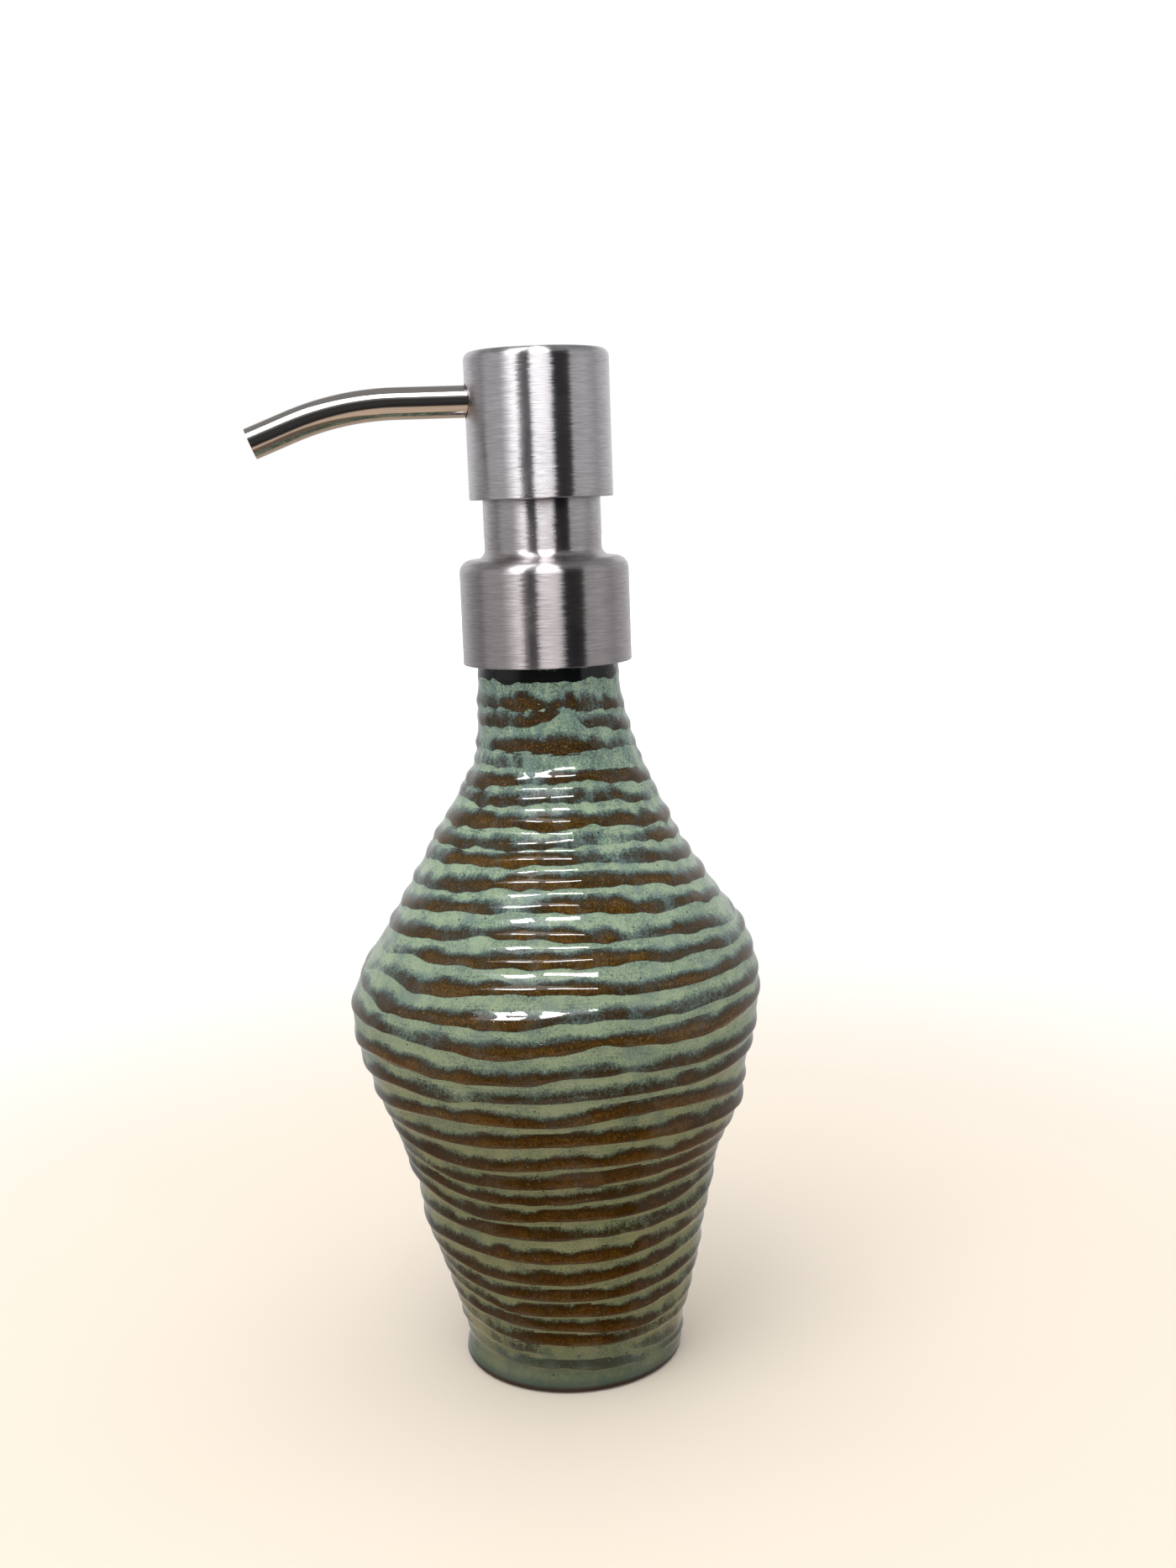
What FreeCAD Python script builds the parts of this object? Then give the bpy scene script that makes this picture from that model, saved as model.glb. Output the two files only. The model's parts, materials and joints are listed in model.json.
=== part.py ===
import FreeCAD, Part
import math
import os

# Soap pump dispenser: a wheel-thrown, glazed stoneware bottle with a steel lotion pump.
# Millimetres, +Z up. The origin is the centre of the foot, on the surface it stands on.
# The pump's spout points along -X.

V = FreeCAD.Vector
AXIS = V(0, 0, 1)

# ---- driving dimensions: bottle -------------------------------------------------------
# (outer radius, height) of the thrown wall, from just above the foot to the rim
WALL_OUTLINE = [
    (22.6, 0.9),
    (22.7, 5.0),
    (25.0, 14.0),
    (29.0, 29.0),
    (32.1, 43.0),
    (37.5, 58.0),
    (40.7, 69.0),
    (41.5, 78.0),
    (38.8, 87.0),
    (33.5, 95.5),
    (27.0, 106.0),
    (21.1, 117.0),
    (16.3, 126.5),
    (14.6, 134.0),
    (13.7, 144.0),
]
RIM_HEIGHT = 147.5
RIDGES = 31
RIDGE_RELIEF = 0.35
WALL = 4.2
FLOOR_HEIGHT = 6.5
FLOOR_RADIUS = 17.0
LOWEST_INNER_WALL = 10.0
HIGHEST_INNER_WALL = 118.0
MOUTH_RADIUS = 10.5
MOUTH_BOTTOM = 131.0
FOOT_RADIUS = 21.7
FOOT_HOLLOW_RADIUS = 17.5
FOOT_HOLLOW_DEPTH = 1.0
FOOT_HOLLOW_SLOPE = 1.0
FLOOR_CHAMFER_OUT = 1.2
FLOOR_CHAMFER_UP = 1.6
RIM_CHAMFER = 0.5

# ---- driving dimensions: screw finish -------------------------------------------------
PITCH = 25.4 / 6
THREAD_TURNS = 1.4
FINISH_ROOT = 12.7
FINISH_CREST = 13.75
FINISH_TOP = 159.5
INSERT_BORE = 9.0
INSERT_SPIGOT = 10.35
INSERT_SPIGOT_LENGTH = 12.0
INSERT_FLANGE = 13.5
INSERT_FLANGE_THICKNESS = 1.5
FINISH_THREAD_START = 152.0
FINISH_RIB_ROOT = 2.4
FINISH_RIB_CREST = 1.0
CLOSURE_THREAD_BELOW = 1.5
CLOSURE_RIB_ROOT = 1.8
CLOSURE_RIB_CREST = 0.8
THREAD_SINK = 0.25

# ---- driving dimensions: collar -------------------------------------------------------
COLLAR_RADIUS = 16.7
COLLAR_BOTTOM = 145.0
COLLAR_TOP = 165.5
COLLAR_CORNER = 2.5
SHEET = 0.5
NECK_RADIUS = 11.55
NECK_FILLET = 2.0
NECK_TOP = 180.2
NECK_LIP = 9.6
NECK_LIP_ROUNDING = 0.9
SHEET_EDGE = 0.2
CLOSURE_BORE = 14.0
CLOSURE_THREAD_CREST = 13.05
CLOSURE_MOUTH = 14.6
CLOSURE_MOUTH_DEPTH = 3.2
CLOSURE_BOTTOM = 146.0
CLOSURE_BELOW_LIP = 0.6

# ---- driving dimensions: clearances and edges -----------------------------------------
SLIP = 0.1
RUNNING = 0.05
PRESS = 0.02
MOULDED_EDGE = 0.4
FINE_EDGE = 0.3

# ---- driving dimensions: pump ---------------------------------------------------------
GASKET_THICKNESS = 1.0
GASKET_INSET = 0.3
GASKET_BORE_EASE = 0.2
HOUSING_FLANGE = 12.4
HOUSING_FLANGE_THICKNESS = 1.2
CYLINDER_BORE = 6.0
CYLINDER_WALL = 1.0
CYLINDER_SHOULDER = 1.0
NIPPLE_WALL = 1.4
STEM_RADIUS = 3.6
STEM_BORE = 2.2
STEM_STOP = 150.0
STEM_SHOULDER_RADIUS = 5.2
STEM_SHOULDER_HEIGHT = 3.5
SEAL_THICKNESS = 3.0
GUIDE_FLANGE = 8.4
GUIDE_FLANGE_THICKNESS = 1.5
GUIDE_TUBE = 5.2
GUIDE_TOP = 172.5
GUIDE_ROUNDING = 0.5
PISTON_HEIGHT = 7.7
PISTON_BELOW_STEM = 0.3
PISTON_LIP_HEIGHT = 1.2
PISTON_LIP_CHAMFER = 0.4
PISTON_LIP_INSET = 0.5
PISTON_WAIST_DEPTH = 0.9
PISTON_WAIST_HALF = 1.5
ROD_RADIUS = 2.4
ROD_BORE = 1.4
ROD_CAP = 4.9
ROD_CAP_THICKNESS = 1.2
ROD_SPIGOT_LENGTH = 5.5
SPRING_LENGTH = 20.0
SPRING_RADIUS = 4.1
SPRING_WIRE = 0.45
SPRING_TURNS = 8
RETAINER_THICKNESS = 1.6
RETAINER_BORE = 0.45
RETAINER_PORTS = 4
RETAINER_PORT_RADIUS = 0.6
RETAINER_PORT_CIRCLE = 1.75
RETAINER_SPIGOT_WALL = 0.8
SPRING_CENTRING = 3.3
CENTRING_LENGTH = 2.4
INLET_BALL = 2.5
INLET_HOLE = 1.5
INLET_CHAMBER = 3.0
INLET_CHAMBER_HEIGHT = 3.6
INLET_SEAT_HEIGHT = 2.5
INLET_HOLE_LENGTH = 1.5
OUTLET_BALL = 2.0
OUTLET_HOLE = 1.4
OUTLET_SEAT_WIDTH = 1.0
OUTLET_SEAT_HEIGHT = 1.2
OUTLET_HOLE_LENGTH = 1.2
OUTLET_CHAMBER = 2.6
OUTLET_STOP_RADIUS = 0.7
OUTLET_LIFT = 1.2
BALL_GAP = 0.05
TUBE_RADIUS = 2.75
TUBE_BORE = 2.0
TUBE_SOCKET_LENGTH = 10.0
TUBE_BOTTOM = 9.0
TUBE_END_SLANT = 35.0

# ---- driving dimensions: head ---------------------------------------------------------
HEAD_RADIUS = 14.1
HEAD_BOTTOM = 177.0
HEAD_TOP = 205.2
HEAD_CORNER = 1.6
HEAD_SHEET = 0.6
CORE_BOTTOM = 191.2
LINER_BOTTOM = 180.0
LINER_THICKNESS = 0.8
LINER_ROUNDING = 0.6
BOSS_RADIUS = 6.0
BOSS_BOTTOM = 184.0
BOSS_ROUNDING = 0.5
HEAD_EDGE = 0.25
STEM_TOP = 190.6
SPOUT_HEIGHT = 195.9
SPOUT_RADIUS = 3.1
SPOUT_BORE = 2.6
SPOUT_SOCKET_END = 5.0
SPOUT_STRAIGHT = 27.5
SPOUT_REACH = 55.4
SPOUT_BEND_RADIUS = 56.0
SPOUT_DROOP = 21.2
SPOUT_HOLE = 3.5
SEAL_RING_AT = 11.4
SEAL_RING_SECTION = 0.5

# ---- heights that follow from them ----------------------------------------------------
GASKET_TOP = FINISH_TOP + GASKET_THICKNESS
HOUSING_TOP = GASKET_TOP + HOUSING_FLANGE_THICKNESS
STEM_BOTTOM = STEM_STOP - SLIP - STEM_SHOULDER_HEIGHT
PISTON_TOP = STEM_BOTTOM - PISTON_BELOW_STEM
PISTON_BOTTOM = PISTON_TOP - PISTON_HEIGHT
ROD_CAP_BOTTOM = PISTON_BOTTOM - ROD_CAP_THICKNESS
SPRING_BOTTOM = ROD_CAP_BOTTOM - SPRING_LENGTH
RETAINER_BOTTOM = SPRING_BOTTOM - RETAINER_THICKNESS
CHAMBER_BOTTOM = RETAINER_BOTTOM - INLET_CHAMBER_HEIGHT
SEAT_BOTTOM = CHAMBER_BOTTOM - INLET_SEAT_HEIGHT
SOCKET_TOP = SEAT_BOTTOM - INLET_HOLE_LENGTH
SOCKET_BOTTOM = SOCKET_TOP - TUBE_SOCKET_LENGTH
OUTLET_SEAT_BOTTOM = STEM_TOP - OUTLET_SEAT_HEIGHT
OUTLET_SEAT_TOP_RADIUS = OUTLET_HOLE + OUTLET_SEAT_WIDTH
COLLAR_INSIDE = COLLAR_RADIUS - SHEET
HEAD_INSIDE = HEAD_RADIUS - HEAD_SHEET


# ---- drawing helpers ------------------------------------------------------------------
def rounded_wire(corners):
    """Closed outline in the XZ plane through corners of (radius, height, rounding)."""
    stations = []
    for index, (radius, height, rounding) in enumerate(corners):
        here = V(radius, 0, height)
        if rounding == 0:
            stations.append((here, here, here))
            continue
        before = corners[index - 1]
        after = corners[(index + 1) % len(corners)]
        to_before = (V(before[0], 0, before[1]) - here).normalize()
        to_after = (V(after[0], 0, after[1]) - here).normalize()
        half_angle = to_before.getAngle(to_after) / 2
        inward = (to_before + to_after).normalize()
        reach = rounding / math.tan(half_angle)
        centre = here + inward * (rounding / math.sin(half_angle))
        stations.append((here + to_before * reach, centre - inward * rounding, here + to_after * reach))
    edges = []
    for index, (start, middle, finish) in enumerate(stations):
        if start.distanceToPoint(finish) > 1e-6:
            edges.append(Part.Arc(start, middle, finish).toShape())
        following = stations[(index + 1) % len(stations)][0]
        if finish.distanceToPoint(following) > 1e-6:
            edges.append(Part.LineSegment(finish, following).toShape())
    return Part.Wire(edges)


def turned(corners):
    """Solid of revolution about the Z axis."""
    return Part.Face(rounded_wire(corners)).revolve(V(0, 0, 0), AXIS, 360)


def sleeve(outer, inner, bottom, top):
    """Plain ring or tube about the Z axis."""
    return turned([(inner, bottom, 0), (outer, bottom, 0), (outer, top, 0), (inner, top, 0)])


def upright_rod(radius, bottom, top, x=0.0, y=0.0):
    return Part.makeCylinder(radius, top - bottom, V(x, y, bottom), AXIS)


def spoutward_rod(radius, near, far):
    """Cylinder along -X at the height of the spout, between two distances from the axis."""
    return Part.makeCylinder(radius, far - near, V(-near, 0, SPOUT_HEIGHT), V(-1, 0, 0))


def thread_rib(root, crest, root_width, crest_width, start_height):
    """One helical thread rib of trapezoid section, from its root radius to its crest radius."""
    helix = Part.makeHelix(PITCH, PITCH * THREAD_TURNS, root)
    helix.translate(V(0, 0, start_height))
    section = Part.makePolygon([
        V(root, 0, start_height - root_width / 2),
        V(crest, 0, start_height - crest_width / 2),
        V(crest, 0, start_height + crest_width / 2),
        V(root, 0, start_height + root_width / 2),
        V(root, 0, start_height - root_width / 2),
    ])
    return Part.Wire(helix.Edges).makePipeShell([section], True, True)


def ball_centre(ball_radius, hole_radius, hole_height, cone_top_radius, cone_top_height):
    """Height of a ball's centre when it lies just clear of its conical seat."""
    slope = math.atan2(cone_top_radius - hole_radius, cone_top_height - hole_height)
    tip = hole_height - hole_radius / math.tan(slope)
    return tip + (ball_radius + BALL_GAP) / math.sin(slope)


# ---- bottle ---------------------------------------------------------------------------
def ridged_edge():
    """The thrown wall's outer line: the mean outline with a throwing ridge at every step."""
    mean = Part.BSplineCurve()
    mean.interpolate([V(radius, 0, height) for radius, height in WALL_OUTLINE])
    edge = mean.toShape()
    points = [edge.valueAt(edge.FirstParameter)]
    steps = 2 * RIDGES
    for step in range(1, steps):
        parameter = edge.getParameterByLength(edge.Length * step / steps)
        outward = edge.tangentAt(parameter).cross(V(0, 1, 0)) * -1
        side = 1 if step % 2 else -1
        points.append(edge.valueAt(parameter) + outward * (side * RIDGE_RELIEF))
    points.append(edge.valueAt(edge.LastParameter))
    ridged = Part.BSplineCurve()
    ridged.interpolate(points)
    return ridged.toShape()


def bottle_body():
    """Thrown stoneware body: ridged wall, shallow hollow under the foot, open mouth."""
    outside = ridged_edge()
    wall_foot = V(WALL_OUTLINE[0][0], 0, WALL_OUTLINE[0][1])
    wall_top = V(WALL_OUTLINE[-1][0], 0, WALL_OUTLINE[-1][1])
    floor_corner = V(FLOOR_RADIUS + FLOOR_CHAMFER_OUT, 0, FLOOR_HEIGHT + FLOOR_CHAMFER_UP)
    inner_line = [
        V(radius - WALL, 0, height)
        for radius, height in WALL_OUTLINE
        if LOWEST_INNER_WALL < height < HIGHEST_INNER_WALL
    ]
    inner_line.insert(0, floor_corner)
    inner_line.append(V(MOUTH_RADIUS, 0, MOUTH_BOTTOM))
    inside = Part.BSplineCurve()
    inside.interpolate(inner_line)
    below = [
        floor_corner,
        V(FLOOR_RADIUS, 0, FLOOR_HEIGHT),
        V(0, 0, FLOOR_HEIGHT),
        V(0, 0, FOOT_HOLLOW_DEPTH),
        V(FOOT_HOLLOW_RADIUS - FOOT_HOLLOW_SLOPE, 0, FOOT_HOLLOW_DEPTH),
        V(FOOT_HOLLOW_RADIUS, 0, 0),
        V(FOOT_RADIUS, 0, 0),
        wall_foot,
    ]
    above = [
        wall_top,
        V(wall_top.x, 0, RIM_HEIGHT - RIM_CHAMFER),
        V(wall_top.x - RIM_CHAMFER, 0, RIM_HEIGHT),
        V(MOUTH_RADIUS, 0, RIM_HEIGHT),
        V(MOUTH_RADIUS, 0, MOUTH_BOTTOM),
    ]
    edges = Part.makePolygon(below).Edges + [outside] + Part.makePolygon(above).Edges
    edges.append(inside.toShape())
    wire = Part.Wire(Part.__sortEdges__(edges))
    return Part.Face(wire).revolve(V(0, 0, 0), AXIS, 360)


def neck_insert():
    """Plastic screw finish, glued into the mouth: spigot, flange on the rim, outside thread."""
    flange_top = RIM_HEIGHT + INSERT_FLANGE_THICKNESS
    blank = turned([
        (INSERT_BORE, RIM_HEIGHT - INSERT_SPIGOT_LENGTH, 0),
        (INSERT_SPIGOT, RIM_HEIGHT - INSERT_SPIGOT_LENGTH, 0),
        (INSERT_SPIGOT, RIM_HEIGHT, 0),
        (INSERT_FLANGE, RIM_HEIGHT, 0),
        (INSERT_FLANGE, flange_top, MOULDED_EDGE),
        (FINISH_ROOT, flange_top, 0),
        (FINISH_ROOT, FINISH_TOP, MOULDED_EDGE),
        (INSERT_BORE, FINISH_TOP, MOULDED_EDGE),
    ])
    rib = thread_rib(
        FINISH_ROOT - THREAD_SINK,
        FINISH_CREST,
        FINISH_RIB_ROOT,
        FINISH_RIB_CREST,
        FINISH_THREAD_START,
    )
    return blank.fuse(rib)


# ---- collar ---------------------------------------------------------------------------
def collar_shell():
    """One deep-drawn steel cover: skirt, rounded shoulder, and the neck the head slides over."""
    return turned([
        (COLLAR_RADIUS, COLLAR_BOTTOM, SHEET_EDGE),
        (COLLAR_RADIUS, COLLAR_TOP, COLLAR_CORNER),
        (NECK_RADIUS, COLLAR_TOP, NECK_FILLET),
        (NECK_RADIUS, NECK_TOP, NECK_LIP_ROUNDING),
        (NECK_LIP, NECK_TOP, 0),
        (NECK_LIP, NECK_TOP - SHEET, 0),
        (NECK_RADIUS - SHEET, NECK_TOP - SHEET, NECK_LIP_ROUNDING - SHEET),
        (NECK_RADIUS - SHEET, COLLAR_TOP - SHEET, NECK_FILLET + SHEET),
        (COLLAR_INSIDE, COLLAR_TOP - SHEET, COLLAR_CORNER - SHEET),
        (COLLAR_INSIDE, COLLAR_BOTTOM, SHEET_EDGE),
    ])


def threaded_closure():
    """Plastic screw cap inside the collar: it clamps the pump's flange on the finish."""
    roof = HOUSING_TOP + RUNNING
    outside = COLLAR_INSIDE - SLIP
    neck_outside = NECK_RADIUS - SHEET - SLIP
    shoulder = COLLAR_TOP - SHEET - SLIP
    top = NECK_TOP - SHEET - CLOSURE_BELOW_LIP
    blank = turned([
        (CLOSURE_MOUTH, CLOSURE_BOTTOM, 0),
        (outside, CLOSURE_BOTTOM, 0),
        (outside, shoulder, COLLAR_CORNER),
        (neck_outside, shoulder, 0),
        (neck_outside, top, 0),
        (INSERT_BORE, top, 0),
        (INSERT_BORE, roof, 0),
        (CLOSURE_BORE, roof, 0),
        (CLOSURE_BORE, CLOSURE_BOTTOM + CLOSURE_MOUTH_DEPTH, 0),
        (CLOSURE_MOUTH, CLOSURE_BOTTOM + CLOSURE_MOUTH_DEPTH, 0),
    ])
    rib = thread_rib(
        CLOSURE_BORE + THREAD_SINK,
        CLOSURE_THREAD_CREST,
        CLOSURE_RIB_ROOT,
        CLOSURE_RIB_CREST,
        FINISH_THREAD_START - CLOSURE_THREAD_BELOW,
    )
    return blank.fuse(rib)


# ---- pump unit ------------------------------------------------------------------------
def pump_housing():
    """Pump cylinder: top flange, smooth bore, inlet valve seat and dip-tube socket."""
    outside = CYLINDER_BORE + CYLINDER_WALL
    nipple = TUBE_RADIUS + NIPPLE_WALL
    return turned([
        (TUBE_RADIUS, SOCKET_BOTTOM, 0),
        (nipple, SOCKET_BOTTOM, FINE_EDGE),
        (nipple, SEAT_BOTTOM, 0),
        (outside, RETAINER_BOTTOM - CYLINDER_SHOULDER, 0),
        (outside, GASKET_TOP, 0),
        (HOUSING_FLANGE, GASKET_TOP, 0),
        (HOUSING_FLANGE, HOUSING_TOP, FINE_EDGE),
        (CYLINDER_BORE, HOUSING_TOP, 0),
        (CYLINDER_BORE, RETAINER_BOTTOM, 0),
        (INLET_CHAMBER, RETAINER_BOTTOM, 0),
        (INLET_CHAMBER, CHAMBER_BOTTOM, 0),
        (INLET_HOLE, SEAT_BOTTOM, 0),
        (INLET_HOLE, SOCKET_TOP, 0),
        (TUBE_RADIUS, SOCKET_TOP, 0),
    ])


def neck_gasket():
    """Soft ring between the finish and the pump's flange."""
    outer = FINISH_ROOT - GASKET_INSET
    inner = INSERT_BORE + GASKET_BORE_EASE
    return sleeve(outer, inner, FINISH_TOP + RUNNING, GASKET_TOP)


def stem_guide():
    """Bushing that plugs the cylinder's top and guides the stem."""
    bore = STEM_RADIUS + RUNNING
    plug = CYLINDER_BORE - PRESS
    flange_top = HOUSING_TOP + GUIDE_FLANGE_THICKNESS
    return turned([
        (bore, STEM_STOP + SEAL_THICKNESS, 0),
        (plug, STEM_STOP + SEAL_THICKNESS, 0),
        (plug, HOUSING_TOP, 0),
        (GUIDE_FLANGE, HOUSING_TOP, 0),
        (GUIDE_FLANGE, flange_top, MOULDED_EDGE),
        (GUIDE_TUBE, flange_top, GUIDE_ROUNDING),
        (GUIDE_TUBE, GUIDE_TOP, GUIDE_ROUNDING),
        (bore, GUIDE_TOP, 0),
    ])


def stem_seal():
    """Soft ring under the guide: it wipes the stem and cushions the stem's shoulder."""
    outer = CYLINDER_BORE - PRESS
    return sleeve(outer, STEM_RADIUS + RUNNING, STEM_STOP, STEM_STOP + SEAL_THICKNESS)


def ball_retainer():
    """Ported disc over the inlet ball, with a spigot that centres the spring."""
    disc = sleeve(CYLINDER_BORE - RUNNING, RETAINER_BORE, RETAINER_BOTTOM, SPRING_BOTTOM)
    spigot_bore = SPRING_CENTRING - RETAINER_SPIGOT_WALL
    spigot = sleeve(SPRING_CENTRING, spigot_bore, SPRING_BOTTOM, SPRING_BOTTOM + CENTRING_LENGTH)
    retainer = disc.fuse(spigot)
    for index in range(RETAINER_PORTS):
        angle = 2 * math.pi * index / RETAINER_PORTS
        x = RETAINER_PORT_CIRCLE * math.cos(angle)
        y = RETAINER_PORT_CIRCLE * math.sin(angle)
        drill = upright_rod(RETAINER_PORT_RADIUS, RETAINER_BOTTOM - 1, SPRING_BOTTOM + 1, x, y)
        retainer = retainer.cut(drill)
    return retainer


def inlet_ball():
    """Steel check ball of the inlet valve."""
    centre = ball_centre(INLET_BALL, INLET_HOLE, SEAT_BOTTOM, INLET_CHAMBER, CHAMBER_BOTTOM)
    return Part.makeSphere(INLET_BALL, V(0, 0, centre))


def return_spring():
    """Compression spring between the ball retainer and the piston rod's cap."""
    clear_end = SPRING_WIRE + RUNNING
    height = SPRING_LENGTH - 2 * clear_end
    helix = Part.makeHelix(height / SPRING_TURNS, height, SPRING_RADIUS)
    helix.translate(V(0, 0, SPRING_BOTTOM + clear_end))
    start = V(SPRING_RADIUS, 0, SPRING_BOTTOM + clear_end)
    heading = V(0, SPRING_RADIUS, height / SPRING_TURNS / (2 * math.pi))
    section = Part.Wire(Part.makeCircle(SPRING_WIRE, start, heading))
    return Part.Wire(helix.Edges).makePipeShell([section], True, True)


def dip_tube():
    """Plastic suction tube with a slanted lower end, so that it can't seal on the floor."""
    tube = sleeve(TUBE_RADIUS, TUBE_BORE, TUBE_BOTTOM, SOCKET_TOP)
    block = 20.0
    wedge = Part.makeBox(block, block, block, V(-block / 2, -block / 2, -block))
    wedge.rotate(V(0, 0, 0), V(0, 1, 0), TUBE_END_SLANT)
    rise = TUBE_RADIUS * math.tan(math.radians(TUBE_END_SLANT))
    wedge.translate(V(0, 0, TUBE_BOTTOM + rise))
    return tube.cut(wedge)


# ---- plunger --------------------------------------------------------------------------
def piston():
    """Soft piston with a sealing lip at each end."""
    lip = CYLINDER_BORE - RUNNING
    entry = lip - PISTON_LIP_INSET
    waist = lip - PISTON_WAIST_DEPTH
    middle = (PISTON_TOP + PISTON_BOTTOM) / 2
    return turned([
        (ROD_RADIUS, PISTON_BOTTOM, 0),
        (entry, PISTON_BOTTOM, 0),
        (lip, PISTON_BOTTOM + PISTON_LIP_CHAMFER, 0),
        (lip, PISTON_BOTTOM + PISTON_LIP_HEIGHT, 0),
        (waist, middle - PISTON_WAIST_HALF, 0),
        (waist, middle + PISTON_WAIST_HALF, 0),
        (lip, PISTON_TOP - PISTON_LIP_HEIGHT, 0),
        (lip, PISTON_TOP - PISTON_LIP_CHAMFER, 0),
        (entry, PISTON_TOP, 0),
        (ROD_RADIUS, PISTON_TOP, 0),
    ])


def piston_rod():
    """Hollow rod through the piston: spring cap below, swivel spigot in the stem above."""
    spigot = STEM_BORE - RUNNING
    top = STEM_BOTTOM + ROD_SPIGOT_LENGTH
    return turned([
        (ROD_BORE, ROD_CAP_BOTTOM - CENTRING_LENGTH, 0),
        (SPRING_CENTRING, ROD_CAP_BOTTOM - CENTRING_LENGTH, FINE_EDGE),
        (SPRING_CENTRING, ROD_CAP_BOTTOM, 0),
        (ROD_CAP, ROD_CAP_BOTTOM, 0),
        (ROD_CAP, PISTON_BOTTOM, 0),
        (ROD_RADIUS, PISTON_BOTTOM, 0),
        (ROD_RADIUS, PISTON_TOP, 0),
        (spigot, PISTON_TOP, 0),
        (spigot, top, FINE_EDGE),
        (ROD_BORE, top, 0),
    ])


# ---- head -----------------------------------------------------------------------------
def stem():
    """Hollow stem: stop shoulder at the bottom, outlet valve seat at the top."""
    shoulder_top = STEM_BOTTOM + STEM_SHOULDER_HEIGHT
    return turned([
        (STEM_BORE, STEM_BOTTOM, 0),
        (STEM_SHOULDER_RADIUS, STEM_BOTTOM, FINE_EDGE),
        (STEM_SHOULDER_RADIUS, shoulder_top, FINE_EDGE),
        (STEM_RADIUS, shoulder_top, 0),
        (STEM_RADIUS, STEM_TOP, 0),
        (OUTLET_SEAT_TOP_RADIUS, STEM_TOP, 0),
        (OUTLET_HOLE, OUTLET_SEAT_BOTTOM, 0),
        (OUTLET_HOLE, OUTLET_SEAT_BOTTOM - OUTLET_HOLE_LENGTH, 0),
        (STEM_BORE, OUTLET_SEAT_BOTTOM - OUTLET_HOLE_LENGTH, 0),
    ])


def outlet_ball_centre():
    return ball_centre(OUTLET_BALL, OUTLET_HOLE, OUTLET_SEAT_BOTTOM, OUTLET_SEAT_TOP_RADIUS, STEM_TOP)


def outlet_ball():
    """Steel check ball of the outlet valve, on top of the stem."""
    return Part.makeSphere(OUTLET_BALL, V(0, 0, outlet_ball_centre()))


def spout_seal():
    """Rubber ring that seals the spout tube in the core."""
    ring = Part.makeTorus(SPOUT_RADIUS + SEAL_RING_SECTION, SEAL_RING_SECTION)
    ring.rotate(V(0, 0, 0), V(0, 1, 0), 90)
    ring.translate(V(-SEAL_RING_AT, 0, SPOUT_HEIGHT))
    return ring


def head_core():
    """Plastic core of the head: stem socket, valve chamber, spout socket and thin liner."""
    outside = HEAD_INSIDE - SLIP
    top = HEAD_TOP - HEAD_SHEET - SLIP
    liner_inside = outside - LINER_THICKNESS
    core = turned([
        (0, BOSS_BOTTOM, 0),
        (BOSS_RADIUS, BOSS_BOTTOM, BOSS_ROUNDING),
        (BOSS_RADIUS, CORE_BOTTOM, LINER_ROUNDING),
        (liner_inside, CORE_BOTTOM, LINER_ROUNDING),
        (liner_inside, LINER_BOTTOM, 0),
        (outside, LINER_BOTTOM, 0),
        (outside, top, HEAD_CORNER),
        (0, top, 0),
    ])
    core = core.cut(upright_rod(STEM_RADIUS, BOSS_BOTTOM - 1, STEM_TOP))
    core = core.cut(upright_rod(OUTLET_CHAMBER, STEM_TOP - 0.5, SPOUT_HEIGHT))
    core = core.cut(spoutward_rod(OUTLET_CHAMBER, -OUTLET_CHAMBER, SPOUT_SOCKET_END + 0.5))
    core = core.cut(spoutward_rod(SPOUT_RADIUS, SPOUT_SOCKET_END, HEAD_RADIUS + 1))
    groove_half = SEAL_RING_SECTION + SLIP
    groove_radius = SPOUT_RADIUS + 2 * SEAL_RING_SECTION + SLIP
    core = core.cut(spoutward_rod(groove_radius, SEAL_RING_AT - groove_half, SEAL_RING_AT + groove_half))
    ball_top = outlet_ball_centre() + OUTLET_BALL
    stop = upright_rod(OUTLET_STOP_RADIUS, ball_top + OUTLET_LIFT + SLIP, SPOUT_HEIGHT + OUTLET_CHAMBER + 1)
    return core.fuse(stop)


def head_cover():
    """Drawn steel cup over the core, with the hole that the spout comes out of."""
    cup = turned([
        (0, HEAD_TOP - HEAD_SHEET, 0),
        (HEAD_INSIDE, HEAD_TOP - HEAD_SHEET, HEAD_CORNER - HEAD_SHEET),
        (HEAD_INSIDE, HEAD_BOTTOM, HEAD_EDGE),
        (HEAD_RADIUS, HEAD_BOTTOM, HEAD_EDGE),
        (HEAD_RADIUS, HEAD_TOP, HEAD_CORNER),
        (0, HEAD_TOP, 0),
    ])
    return cup.cut(spoutward_rod(SPOUT_HOLE, HEAD_INSIDE - 3, HEAD_RADIUS + 1))


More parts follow.
